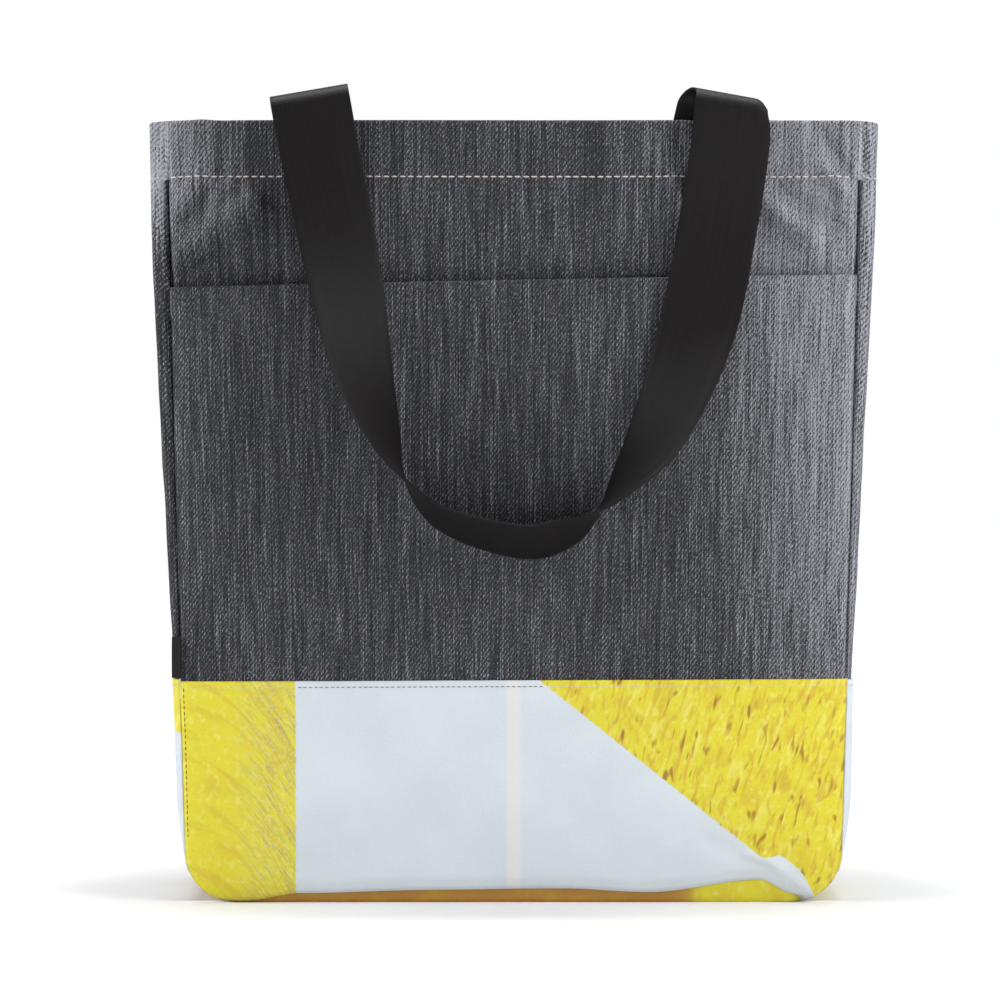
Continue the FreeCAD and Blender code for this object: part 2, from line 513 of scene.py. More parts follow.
    def gusset_out(self, share: float, up: float, side: int) -> float:
        """Outward distance of a gusset from the plane of its seams.

        Args:
            share: 0 at the front seam, 1 at the rear seam.
            up: height.
            side: -1 for the left gusset, 1 for the right one.

        Returns:
            Metres outwards.
        """
        climb = smooth(up, self.climb_from, self.rim)
        low, added = self.gusset_swell
        swell = (low + added * climb ** self.swell_power) * smooth(up, *self.swell_rise)
        near = min(share, 1 - share)
        crease = self.crease_depth * math.exp(-((share - 0.5) / self.crease_width) ** 2)
        uneven = self.gusset_wave.lift(share, up, side) + self.gusset_ripple.lift(share, up, side)
        out = swell * smooth(near, *self.swell_share) - crease * climb
        return out + uneven * smooth(near, 0, self.gusset_settled) - self.gusset_set

    def gusset_lip(self, share: float, up: float) -> float:
        """How far a gusset swells forwards beside a seam.

        Args:
            share: 0 at the front seam, 1 at the rear seam.
            up: height.

        Returns:
            Metres towards the nearer face of the bag.
        """
        near = min(share, 1 - share) / self.lip_share
        edge = (1 - self.slack(up)) * self.seam_depth * max(1 - near / self.lip_reach, 0.0) ** 2
        lip = self.lip * math.sqrt(self.slack(up)) * near * math.exp(1 - near) + edge
        return lip if share < 0.5 else -lip


# ---------------------------------------------------------------------------- meshes


def new_object(name: str, mesh_maker: bmesh.types.BMesh, finishes: Sequence[Material]) -> Piece:
    """Turns a bmesh into a smooth-shaded object at the origin.

    Args:
        name: the piece's name.
        mesh_maker: the finished bmesh, which is freed.
        finishes: materials, in slot order.

    Returns:
        The new object.
    """
    mesh = bpy.data.meshes.new(name)
    mesh_maker.to_mesh(mesh)
    mesh_maker.free()
    for finish in finishes:
        mesh.materials.append(finish)
    for polygon in mesh.polygons:
        polygon.use_smooth = True
    piece = bpy.data.objects.new(name, mesh)
    bpy.context.scene.collection.objects.link(piece)
    return piece


def lay_cloth(
    name: str,
    across: Sequence[float],
    along: Sequence[float],
    place: Place,
    thickness: float,
    finishes: Sequence[Material],
    centred: bool = False,
) -> Piece:
    """Makes a piece of cloth from a grid in its flat cut and lays it in place.

    Args:
        name: the piece's name.
        across: the grid's lines over the cut's width, in metres.
        along: the grid's lines over the cut's length, in metres.
        place: where a point of the flat cut lies on the bag.
        thickness: of the cloth, in metres.
        finishes: outer material, and optionally the material of the reverse.
        centred: whether the laid surface is the middle of the cloth, not its outer face.

    Returns:
        The cloth as an object with a live Solidify modifier.
    """
    maker = bmesh.new()
    bmesh.ops.create_grid(maker, x_segments=len(across) - 1, y_segments=len(along) - 1, size=0.5)
    layer = maker.loops.layers.uv.new("UVMap")
    flat = {}
    for vertex in maker.verts:
        column = round((vertex.co.x + 0.5) * (len(across) - 1))
        row = round((vertex.co.y + 0.5) * (len(along) - 1))
        flat[vertex] = (across[column], along[row])
    for face in maker.faces:
        for loop in face.loops:
            loop[layer].uv = flat[loop.vert]
    for vertex, (s, t) in flat.items():
        vertex.co = place(s, t)
    piece = new_object(name, maker, finishes)
    wall = piece.modifiers.new("cloth", "SOLIDIFY")
    wall.thickness = thickness
    wall.offset = 0 if centred else -1
    wall.material_offset = len(finishes) - 1
    return piece


def face_outwards(piece: Piece) -> None:
    """Turns a folded piece's faces to point out of the fold.

    Args:
        piece: the object whose mesh is mended.
    """
    maker = bmesh.new()
    maker.from_mesh(piece.data)
    bmesh.ops.recalc_face_normals(maker, faces=maker.faces)
    maker.to_mesh(piece.data)
    maker.free()


@dataclass(frozen=True)
class Thread:
    """Sewing thread in a row of stitches.

    Attributes:
        pitch: from one stitch to the next.
        length: of the thread that shows.
        radius: of the thread.
        stray: unevenness of the stitches along the row, as a share of the pitch.
        sides: faces round one stitch.
        rings: faces along it.
    """

    pitch: float
    length: float
    radius: float
    stray: Ripple = Ripple(0.7, 31, 1.7, 0.12)
    sides: int = 6
    rings: int = 5

    def sew(
        self,
        name: str,
        finish: Material,
        total: float,
        at: Callable[[float], Vector],
    ) -> Piece:
        """Makes one row of stitches.

        Args:
            name: the row's name.
            finish: the thread's material.
            total: length of the row.
            at: the point on the cloth at a distance along the row.

        Returns:
            All the row's stitches as one object.
        """
        maker = bmesh.new()
        for index in range(int(total / self.pitch)):
            middle = (index + 0.5) * self.pitch
            stray = self.stray.lift(index, total) * self.pitch
            start = at(middle - self.length / 2 + stray)
            end = at(middle + self.length / 2 + stray)
            run = end - start
            turn = run.to_track_quat("X", "Z").to_matrix().to_4x4()
            size = Matrix.Diagonal((run.length / 2, self.radius, self.radius, 1))
            laid = size @ Matrix.Rotation(math.pi / 2, 4, "Y")
            bmesh.ops.create_uvsphere(
                maker,
                u_segments=self.sides,
                v_segments=self.rings,
                radius=1,
                matrix=Matrix.Translation((start + end) / 2) @ turn @ laid,
            )
        return new_object(name, maker, [finish])


TOP_THREAD = Thread(pitch=0.0042, length=0.0032, radius=0.00047)
EDGE_THREAD = Thread(pitch=0.0028, length=0.0020, radius=0.00034)
SEAM_THREAD = Thread(pitch=0.0030, length=0.0021, radius=0.00030)
BOX_THREAD = Thread(pitch=0.0034, length=0.0026, radius=0.0003)


# ---------------------------------------------------------------------------- finishes


def toned(colour: Colour, factor: float) -> Colour:
    """The colour made darker or lighter by a factor, each part held at 1."""
    red, green, blue = (min(part * factor, 1.0) for part in colour)
    return red, green, blue


@dataclass(frozen=True)
class Grain:
    """A noise pattern over a cloth.

    Attributes:
        detail: number of finer layers.
        scale: repeats per metre.
        stretch: factors for X, Y and Z, where the pattern is drawn out.
        turn: degrees by which it leans.
        warp: how much it is distorted.
        weight: how strongly it tells.
    """

    detail: float
    scale: float = 1.0
    stretch: tuple[float, float, float] | None = None
    turn: float = 0.0
    warp: float = 0.0
    weight: float = 1.0


@dataclass(frozen=True)
class Mark:
    """A tint that shows where a grain is strong.

    Attributes:
        grain: the pattern.
        low: value of the pattern at which the tint begins.
        high: value at which it is full.
        share: the most of the tint that shows.
    """

    grain: Grain
    low: float
    high: float
    share: float


@dataclass(frozen=True)
class Surface:
    """How a finish takes the light.

    Attributes:
        roughness: of the surface.
        specular: specular level.
        bump: how strong the bump is.
        step: height of a full step of the bump, in metres.
    """

    roughness: float
    specular: float
    bump: float
    step: float


class FinishNodes:
    """A material's node tree, with short ways to add and join nodes."""

    def __init__(self, name: str) -> None:
        """Starts a material with one Principled shader.

        Args:
            name: the material's name.
        """
        self.material = bpy.data.materials.new(name)
        self.material.use_nodes = True
        self.tree = self.material.node_tree
        self.shader = self.tree.nodes["Principled BSDF"]

    def node(self, kind: str, **values: object) -> bpy.types.Node:
        """Adds a node and sets its properties.

        Args:
            kind: the node's type.
            values: properties of the node, by name.

        Returns:
            The new node.
        """
        made = self.tree.nodes.new(kind)
        for key, value in values.items():
            setattr(made, key, value)
        return made

    def feed(self, socket: Socket, value: object) -> None:
        """Sets an input socket, or joins another node's output to it.

        Args:
            socket: the input.
            value: a number, a colour, a vector or an output socket.
        """
        if isinstance(value, Socket):
            self.tree.links.new(value, socket)
        else:
            socket.default_value = value

    def math(self, operation: str, first: object, second: object = 0.0, clamp: bool = False) -> Socket:
        """A Math node's result.

        Args:
            operation: such as ADD or MULTIPLY.
            first: number or socket.
            second: number or socket.
            clamp: whether the result is held between 0 and 1.

        Returns:
            The result's socket.
        """
        made = self.node("ShaderNodeMath", operation=operation, use_clamp=clamp)
        self.feed(made.inputs[0], first)
        self.feed(made.inputs[1], second)
        return made.outputs[0]

    def parts(self, vector: Socket) -> Sequence[Socket]:
        """The X, Y and Z sockets of a vector."""
        made = self.node("ShaderNodeSeparateXYZ")
        self.feed(made.inputs[0], vector)
        return made.outputs

    def axes(self, source: str) -> tuple[Socket, Sequence[Socket]]:
        """Texture coordinates and their three parts.

        Args:
            source: UV or Object.

        Returns:
            The vector's socket and its X, Y and Z sockets.
        """
        vector = self.node("ShaderNodeTexCoord").outputs[source]
        return vector, self.parts(vector)

    def vector(self, x: object = 0.0, y: object = 0.0) -> Socket:
        """A vector in the X and Y plane.

        Args:
            x: number or socket.
            y: number or socket.

        Returns:
            The vector's socket.
        """
        made = self.node("ShaderNodeCombineXYZ")
        self.feed(made.inputs[0], x)
        self.feed(made.inputs[1], y)
        return made.outputs[0]

    def shifted(self, vector: Socket, offset: Socket) -> Socket:
        """The sum of two vectors.

        Args:
            vector: coordinates.
            offset: what is added to them.

        Returns:
            The new vector's socket.
        """
        made = self.node("ShaderNodeVectorMath", operation="ADD")
        self.feed(made.inputs[0], vector)
        self.feed(made.inputs[1], offset)
        return made.outputs[0]

    def scaled(self, vector: Socket, scale: Sequence[float], turn: float) -> Socket:
        """The vector turned about Z and scaled.

        Args:
            vector: coordinates.
            scale: factors for X, Y and Z.
            turn: angle about Z in degrees.

        Returns:
            The new vector's socket.
        """
        turned = vector
        if turn:
            spin = self.node("ShaderNodeVectorRotate", rotation_type="Z_AXIS")
            self.feed(spin.inputs["Vector"], vector)
            spin.inputs["Angle"].default_value = math.radians(turn)
            turned = spin.outputs[0]
        made = self.node("ShaderNodeVectorMath", operation="MULTIPLY")
        self.feed(made.inputs[0], turned)
        made.inputs[1].default_value = scale
        return made.outputs[0]

    def grain(self, vector: Socket, kind: Grain) -> Socket:
        """A grain's value over the cloth.

        Args:
            vector: coordinates.
            kind: the pattern.

        Returns:
            A socket with a value about 0.5.
        """
        if kind.stretch:
            vector = self.scaled(vector, kind.stretch, kind.turn)
        made = self.node("ShaderNodeTexNoise")
        self.feed(made.inputs["Vector"], vector)
        made.inputs["Scale"].default_value = kind.scale
        made.inputs["Detail"].default_value = kind.detail
        made.inputs["Distortion"].default_value = kind.warp
        return made.outputs["Fac"]

    def centred(self, value: Socket, weight: float) -> Socket:
        """A grain's value moved to lie about 0, and weighted."""
        return self.math("MULTIPLY", self.math("SUBTRACT", value, NOISE_MIDDLE), weight)

    def ribs(self, value: Socket, pitch: float) -> Socket:
        """A wave from -1 to 1 along a value, one rib to each pitch."""
        return self.math("SINE", self.math("MULTIPLY", value, 2 * math.pi / pitch))

    def eased(self, value: Socket, low: float, high: float) -> Socket:
        """Maps a value smoothly from 0 at low to 1 at high.

        Args:
            value: the socket to map.
            low: where the result is 0.
            high: where the result is 1.

        Returns:
            The result's socket.
        """
        made = self.node("ShaderNodeMapRange", interpolation_type="SMOOTHSTEP")
        self.feed(made.inputs["Value"], value)
        made.inputs["From Min"].default_value = low
        made.inputs["From Max"].default_value = high
        return made.outputs["Result"]

    def eased_off(self, value: Socket, low: float, high: float) -> Socket:
        """Maps a value smoothly from 1 at low to 0 at high."""
        return self.math("SUBTRACT", 1.0, self.eased(value, low, high))

    def blend(self, share: object, first: object, second: object) -> Socket:
        """A mix of two colours.

        Args:
            share: 0 gives the first, 1 the second.
            first: colour or socket.
            second: colour or socket.

        Returns:
            The mixed colour's socket.
        """
        made = self.node("ShaderNodeMix", data_type="RGBA")
        self.feed(made.inputs["Factor"], share)
        colours = [socket for socket in made.inputs if socket.type == "RGBA"]
        for socket, value in zip(colours, (first, second)):
            self.feed(socket, value if isinstance(value, Socket) else (*value, 1.0))
        return [socket for socket in made.outputs if socket.type == "RGBA"][0]

    def marked(
        self, vector: Socket, base: object, mark: Mark, tint: Colour, within: object = None,
    ) -> Socket:
        """Tints a colour with a mark.

        Args:
            vector: coordinates.
            base: the colour under the mark.
            mark: where and how strongly the tint shows.
            tint: the mark's colour.
            within: socket from 0 to 1 that limits the mark to a stretch of the cloth.

        Returns:
            The tinted colour's socket.
        """
        share = self.eased(self.grain(vector, mark.grain), mark.low, mark.high)
        if within is not None:
            share = self.math("MULTIPLY", share, within)
        return self.blend(self.math("MULTIPLY", share, mark.share), base, tint)

    def rough(self, roughness: float, specular: float) -> None:
        """Sets the shader's roughness and specular level."""
        self.shader.inputs["Roughness"].default_value = roughness
        self.shader.inputs["Specular IOR Level"].default_value = specular

    def finish(self, colour: Socket, height: Socket, surface: Surface) -> Material:
        """Joins the colour and the bump to the shader.

        Args:
            colour: the base colour.
            height: the bump's height.
            surface: how the finish takes the light.

        Returns:
            The finished material.
        """
        self.feed(self.shader.inputs["Base Color"], colour)
        self.rough(surface.roughness, surface.specular)
        made = self.node("ShaderNodeBump")
        made.inputs["Strength"].default_value = surface.bump
        made.inputs["Distance"].default_value = surface.step
        self.feed(made.inputs["Height"], height)
        self.feed(self.shader.inputs["Normal"], made.outputs["Normal"])
        return self.material


@dataclass(frozen=True)
class Denim:
    """Charcoal twill with slubs: dark warp threads that run up the bag, pale weft specks, and painted light
    towards its sides.

    Attributes:
        shade: the darkest thread.
        body: the middle tone.
        fleck: the palest thread.
        side_light_paling: how much painted light from the side lamps pales the cloth towards its sides.
        stagger: moves the slubs up and down, so that they don't line up.
        lit_lean: how far the edge of the painted light on the right side leans as the cloth rises.
        side_light_weight: how strong the painted light on the left gusset's top is.
    """

    shade: Colour = (0.0030, 0.0032, 0.0042)
    body: Colour = (0.031, 0.032, 0.0375)
    fleck: Colour = (0.320, 0.325, 0.365)
    side_light_paling: float = 0.31
    stagger: Grain = Grain(1.0, stretch=(1300, 2, 1), weight=0.16)
    broad: Grain = Grain(2.0, stretch=(260, 7, 1), weight=0.40)
    streak: Grain = Grain(2.0, stretch=(1500, 38, 1), weight=1.35)
    fine: Grain = Grain(1.0, stretch=(2400, 520, 1), weight=1.00)
    speck: Grain = Grain(2.0, stretch=(2000, 1700, 1), weight=0.95)
    waver: Grain = Grain(1.0, scale=900, weight=0.0005)
    twill_pitch: float = 0.00165
    twill_slant: tuple[float, float] = (0.80, 0.60)
    twill_tone: float = 0.120
    twill_ridge: float = 0.35
    middle: float = 0.45
    dark_end: tuple[float, float] = (0.05, 0.52)
    pale_end: tuple[float, float] = (0.50, 1.0)
    # Where painted light from the side lamps pales the cloth: its right side, the hem's left end and the
    # left gusset's top.
    lit_right: tuple[float, float] = (0.110, 0.225)
    lit_lean: float = 0.20
    lit_left_end: tuple[float, float] = (-0.178, -0.128)
    lit_left_gusset: tuple[float, float] = (-0.183, -0.176)
    side_light_weight: float = 0.50
    lit_top: tuple[float, float] = (0.318, 0.376)
    surface: Surface = Surface(roughness=0.88, specular=0.28, bump=0.40, step=0.00035)

    def make(self, name: str) -> Material:
        """Builds the material from the cut's own UV map, which is in metres.

        Args:
            name: the material's name.

        Returns:
            The material.
        """
        nodes = FinishNodes(name)
        uv, parts = nodes.axes("UV")
        stagger = nodes.math("MULTIPLY", nodes.grain(uv, self.stagger), self.stagger.weight)
        moved = nodes.shifted(uv, nodes.vector(y=stagger))
        across = nodes.math("MULTIPLY", parts[0], self.twill_slant[0])
        slant = nodes.math("SUBTRACT", across, nodes.math("MULTIPLY", parts[1], self.twill_slant[1]))
        waver = nodes.math("MULTIPLY", nodes.grain(uv, self.waver), self.waver.weight)
        twill = nodes.ribs(nodes.math("ADD", slant, waver), self.twill_pitch)
        tone = nodes.math("MULTIPLY", twill, self.twill_tone)
        layers = ((moved, self.broad), (moved, self.streak), (uv, self.fine), (uv, self.speck))
        for vector, kind in layers:
            tone = nodes.math("ADD", tone, nodes.centred(nodes.grain(vector, kind), kind.weight))
        # Painted light: the colour is made paler where the side lamps light the cloth.
        tone = nodes.math("ADD", tone, nodes.math("MULTIPLY", self.painted_side_light(nodes), self.side_light_paling))
        tone = nodes.math("ADD", tone, self.middle, clamp=True)
        low = nodes.blend(nodes.eased(tone, *self.dark_end), self.shade, self.body)
        colour = nodes.blend(nodes.eased(tone, *self.pale_end), low, self.fleck)
        height = nodes.math("ADD", tone, nodes.math("MULTIPLY", twill, self.twill_ridge))
        return nodes.finish(colour, height, self.surface)

    def painted_side_light(self, nodes: FinishNodes) -> Socket:
        """Painted light from the side lamps: paler colour on the cloth's right side, the left end of the hem
        and the left gusset's top.

        Args:
            nodes: the material being built.

        Returns:
            A socket with 0 where no light is painted.
        """
        _, place = nodes.axes("Object")
        slant = nodes.math("ADD", place[0], nodes.math("MULTIPLY", place[2], self.lit_lean))
        right = nodes.eased(slant, *self.lit_right)
        left = nodes.eased_off(place[0], *self.lit_left_end)
        high = nodes.eased(place[2], *self.lit_top)
        side = nodes.eased_off(place[0], *self.lit_left_gusset)
        ends = nodes.math("ADD", left, nodes.math("MULTIPLY", side, self.side_light_weight))
        return nodes.math("ADD", right, nodes.math("MULTIPLY", ends, high))


@dataclass(frozen=True)
class Webbing:
    """Satin woven strap with fine cross ribs.

    Attributes:
        colour: the middle tone.
    """

    colour: Colour = (0.0070, 0.0060, 0.0064)
    dark: float = 0.62
    light: float = 1.55
    weft_pitch: float = 0.00085
    warp_pitch: float = 0.00125
    weft_height: float = 0.5
    warp_height: float = 0.35
    grain: Grain = Grain(2.0, stretch=(1500, 900, 1), weight=1.2)
    along: Grain = Grain(2.0, stretch=(900, 14, 1))
    surface: Surface = Surface(roughness=0.52, specular=0.13, bump=0.30, step=0.00012)

    def make(self, name: str) -> Material:
        """Builds the material; U runs over the strap's width and V along it.

        Args:
            name: the material's name.

        Returns:
            The material.
        """
        nodes = FinishNodes(name)
        uv, parts = nodes.axes("UV")
        grain = nodes.grain(uv, self.grain)
        along = nodes.grain(uv, self.along)
        tone = nodes.math(
            "ADD", nodes.centred(grain, self.grain.weight), nodes.centred(along, self.along.weight),
        )
        share = nodes.math("ADD", tone, NOISE_MIDDLE, clamp=True)
        colour = nodes.blend(share, toned(self.colour, self.dark), toned(self.colour, self.light))
        weft = nodes.math("MULTIPLY", nodes.ribs(parts[1], self.weft_pitch), self.weft_height)
        warp = nodes.math("MULTIPLY", nodes.ribs(parts[0], self.warp_pitch), self.warp_height)
        height = nodes.math("ADD", nodes.math("ADD", weft, warp), grain)
        return nodes.finish(colour, height, self.surface)


@dataclass(frozen=True)
class PlainCloth:
    """Plain woven tape or thread in one colour, a little uneven.

    Attributes:
        colour: the middle tone.
        roughness: of the surface.
    """

    colour: Colour
    roughness: float = 0.75
    dark: float = 0.72
    light: float = 1.25
    grain: Grain = Grain(2.0, scale=1800)
    specular: float = 0.3
    bump: float = 0.3
    step: float = 0.0001

    def make(self, name: str) -> Material:
        """Builds the material on object coordinates.

        Args:
            name: the material's name.

        Returns:
            The material.
        """
        nodes = FinishNodes(name)
        place, _ = nodes.axes("Object")
        grain = nodes.grain(place, self.grain)
        colour = nodes.blend(grain, toned(self.colour, self.dark), toned(self.colour, self.light))
        return nodes.finish(colour, grain, Surface(self.roughness, self.specular, self.bump, self.step))


class Print(Enum):
    """Which stretch of the printed coated cloth a piece was cut from."""

    FRONT = "front"
    BACK = "back"
    LEFT = "left"
    RIGHT = "right"
    BOTTOM = "bottom"


@dataclass(frozen=True)
class PrintedCloth:
    """Coated cloth cut from a large print: flat blocks of mottled yellow and pale blue.

    Attributes:
        pale: the pale blue ground.
        stripe: a faint warm line on it.
        yellow: the mottled yellow.
        ochre: its darker clouds.
        straw: its paler clouds.
        brown: the flecks.
        drab: the grey-brown streaks.
        shaded_bottom: the bottom's orange brown, partly its own orange-yellow and partly painted shade.
        dust: pale grains among the streaks.
        curl_from: distance from the middle to where the streaks run level.
    """

    pale: Colour = (0.580, 0.632, 0.685)
    stripe: Colour = (0.720, 0.680, 0.650)
    yellow: Colour = (0.650, 0.580, 0.026)
    ochre: Colour = (0.560, 0.370, 0.028)
    straw: Colour = (0.730, 0.680, 0.150)
    brown: Colour = (0.280, 0.105, 0.014)
    drab: Colour = (0.330, 0.300, 0.150)
    # Painted shade: darker than the bottom's own orange-yellow.
    shaded_bottom: Colour = (0.420, 0.210, 0.035)
    dust: Colour = (0.640, 0.600, 0.380)
    clouds: Mark = Mark(Grain(5.0, stretch=(70, 60, 60)), 0.50, 0.76, 0.50)
    patches: Mark = Mark(Grain(4.0, stretch=(260, 220, 170)), 0.48, 0.72, 0.50)
    freckles: Mark = Mark(Grain(3.0, scale=620), 0.52, 0.78, 0.42)
    strokes: Mark = Mark(Grain(2.0, stretch=(300, 84, 1), turn=17, warp=0.5), 0.48, 0.68, 0.80)
    heavy: Mark = Mark(Grain(1.0, stretch=(270, 78, 1), turn=13, warp=0.4), 0.580, 0.740, 0.85)
    light: Mark = Mark(Grain(2.0, stretch=(210, 60, 1), turn=22, warp=0.5), 0.54, 0.70, 0.60)
    sweep: Mark = Mark(Grain(3.0, stretch=(30, 150, 1), warp=0.6), 0.50, 0.68, 0.45)
    feather: Mark = Mark(Grain(4.0, stretch=(110, 360, 1), warp=1.4), 0.44, 0.70, 0.66)
    grains: Mark = Mark(Grain(2.0, scale=620), 0.52, 0.64, 0.36)
    feather_from: tuple[float, float] = (-0.148, -0.126)
    curl_from: float = 0.182
    curl: float = 11.5
    ground_clouds: Grain = Grain(4.0, scale=26)
    ground_grain: Grain = Grain(1.0, scale=900, weight=0.5)
    ground_range: tuple[float, float] = (0.2, 0.8)
    ground_dim: float = 0.95
    ground_bright: float = 1.05
    stripe_edge: tuple[float, float] = (0.0022, 0.0046)
    stripe_share: float = 0.62
    ragged: Grain = Grain(2.0, scale=420, weight=0.0018)
    left_edge: tuple[float, float] = (-0.1117, -0.1107)
    slant: float = 0.800
    slant_edge: tuple[float, float] = (0.1240, 0.1252)
    tail_rise: tuple[float, float] = (0.125, 0.139)
    tail_fall: tuple[float, float] = (0.145, 0.158)
    tail_height: float = 0.0095
    back_slant: float = 0.62
    back_edge: tuple[float, float] = (0.0090, 0.0102)
    left_level: float = 0.087
    right_level: float = 0.200
    side_edge: float = 0.0004
    bottom_clouds: Mark = Mark(Grain(5.0, stretch=(60, 60, 60)), 0.45, 0.80, 0.6)
    bottom_edge: tuple[float, float] = (0.094, 0.104)
    bottom_stray: float = 0.012
    soft: Grain = Grain(3.0, scale=90)
    weave: Grain = Grain(1.0, scale=1300, weight=0.10)
    surface: Surface = Surface(roughness=0.52, specular=0.35, bump=0.35, step=0.0007)

    def make(self, name: str, cut: Print) -> Material:
        """Builds the material for one cut of the print.

        Args:
            name: the material's name.
            cut: where on the print the piece was cut.

        Returns:
            The material.
        """
        nodes = FinishNodes(name)
        place, parts = nodes.axes("Object")
        flat = nodes.vector(parts[0], parts[2])
        if cut is Print.FRONT:
            colour = self.front(nodes, flat)
        elif cut is Print.BACK:
            colour = self.back(nodes, flat)
        elif cut is Print.BOTTOM:
            colour = self.bottom(nodes, place)
        else:
            colour = self.side(nodes, place, flat, cut)
        weave = nodes.math("MULTIPLY", nodes.grain(place, self.weave), self.weave.weight)
        height = nodes.math("ADD", nodes.grain(place, self.soft), weave)
        return nodes.finish(colour, height, self.surface)

    def pale_ground(self, nodes: FinishNodes, flat: Socket) -> Socket:
        """The pale blue, with faint clouds.

        Args:
            nodes: the material being built.
            flat: the face's own coordinates, X across and Y up.

        Returns:
            The ground's colour.
        """
        grain = nodes.centred(nodes.grain(flat, self.ground_grain), self.ground_grain.weight)
        tone = nodes.math("ADD", nodes.grain(flat, self.ground_clouds), grain)
        share = nodes.eased(tone, *self.ground_range)
        return nodes.blend(share, toned(self.pale, self.ground_dim), toned(self.pale, self.ground_bright))

    def mottled(self, nodes: FinishNodes, place: Socket) -> Socket:
        """The yellow with ochre and straw clouds.

        Args:
            nodes: the material being built.
            place: the cloth's coordinates.

        Returns:
            The yellow's colour.
        """
        tint = nodes.marked(place, self.yellow, self.clouds, self.ochre)
        tint = nodes.marked(place, tint, self.patches, self.straw)
        return nodes.marked(place, tint, self.freckles, self.ochre)

    def flecked(self, nodes: FinishNodes, flat: Socket) -> Socket:
        """Mottled yellow with short brown strokes that lean a little.

        Args:
            nodes: the material being built.
            flat: the face's own coordinates, X across and Y up.

        Returns:
            The flecked yellow's colour.
        """
        tint = nodes.marked(flat, self.mottled(nodes, flat), self.light, self.straw)
        tint = nodes.marked(flat, tint, self.strokes, self.ochre)
        return nodes.marked(flat, tint, self.heavy, self.brown)

    def feathered(self, nodes: FinishNodes, flat: Socket, across: Socket) -> Socket:
        """Mottled yellow with fine drab streaks that sweep down to one side.

        Args:
            nodes: the material being built.
            flat: the face's own coordinates, X across and Y up.
            across: the first of them.

        Returns:
            The feathered yellow's colour.
        """
        curve = nodes.math("POWER", nodes.math("ADD", across, self.curl_from), 2.0)
        swept = nodes.shifted(flat, nodes.vector(y=nodes.math("MULTIPLY", curve, self.curl)))
        near = nodes.eased(across, *self.feather_from)
        tint = nodes.marked(swept, self.mottled(nodes, flat), self.sweep, self.ochre)
        tint = nodes.marked(swept, tint, self.feather, self.drab, near)
        return nodes.marked(flat, tint, self.grains, self.dust, near)

    def front(self, nodes: FinishNodes, flat: Socket) -> Socket:
        """The front cut: a yellow end, the pale field, and a yellow corner behind a slanting edge.

        Args:
            nodes: the material being built.
            flat: the face's own coordinates, X across and Y up.

        Returns:
            The cut's colour.
        """
        across, up, _ = nodes.parts(flat)
        line = nodes.eased_off(nodes.math("ABSOLUTE", across), *self.stripe_edge)
        striped = nodes.math("MULTIPLY", line, self.stripe_share)
        pale = nodes.blend(striped, self.pale_ground(nodes, flat), self.stripe)
        ragged = nodes.centred(nodes.grain(flat, self.ragged), self.ragged.weight)
        left = nodes.eased_off(nodes.math("ADD", across, ragged), *self.left_edge)
        slope = nodes.math("ADD", up, nodes.math("MULTIPLY", across, self.slant))
        rise = nodes.eased(across, *self.tail_rise)
        tail = nodes.math("SUBTRACT", rise, nodes.eased(across, *self.tail_fall))
        slope = nodes.math("SUBTRACT", slope, nodes.math("MULTIPLY", tail, self.tail_height))
        right = nodes.eased(nodes.math("ADD", slope, ragged), *self.slant_edge)
        colour = nodes.blend(left, pale, self.feathered(nodes, flat, across))
        return nodes.blend(right, colour, self.flecked(nodes, flat))

    def back(self, nodes: FinishNodes, flat: Socket) -> Socket:
        """The back cut: mostly flecked yellow, with a pale corner.

        Args:
            nodes: the material being built.
            flat: the face's own coordinates, X across and Y up.

        Returns:
            The cut's colour.
        """
        across, up, _ = nodes.parts(flat)
        slope = nodes.math("ADD", up, nodes.math("MULTIPLY", across, self.back_slant))
        share = nodes.eased(slope, *self.back_edge)
        return nodes.blend(share, self.pale_ground(nodes, flat), self.flecked(nodes, flat))

    def side(self, nodes: FinishNodes, place: Socket, flat: Socket, cut: Print) -> Socket:
        """A gusset's cut: pale, and on the left yellow above a level line.

        Args:
            nodes: the material being built.
            place: object coordinates.
            flat: X and Z of them, as X and Y.
            cut: left or right.

        Returns:
            The cut's colour.
        """
        pale = self.pale_ground(nodes, flat)
        level = self.left_level if cut is Print.LEFT else self.right_level
        above = nodes.eased(nodes.parts(place)[2], level - self.side_edge, level + self.side_edge)
        tint = self.mottled(nodes, place) if cut is Print.LEFT else pale
        return nodes.blend(above, pale, tint)

    def bottom(self, nodes: FinishNodes, place: Socket) -> Socket:
        """The bottom cut: orange brown with ochre clouds, painted shade on its orange-yellow, turning to
        mottled yellow at the right.

        Args:
            nodes: the material being built.
            place: object coordinates.

        Returns:
            The cut's colour.
        """
        # Painted shade: the bottom is painted a darker brown except at its right end.
        tint = nodes.marked(place, self.shaded_bottom, self.bottom_clouds, self.ochre)
        stray = nodes.math("MULTIPLY", nodes.grain(place, self.bottom_clouds.grain), self.bottom_stray)
        right = nodes.eased(nodes.math("ADD", nodes.parts(place)[0], stray), *self.bottom_edge)
        return nodes.blend(right, tint, self.mottled(nodes, place))


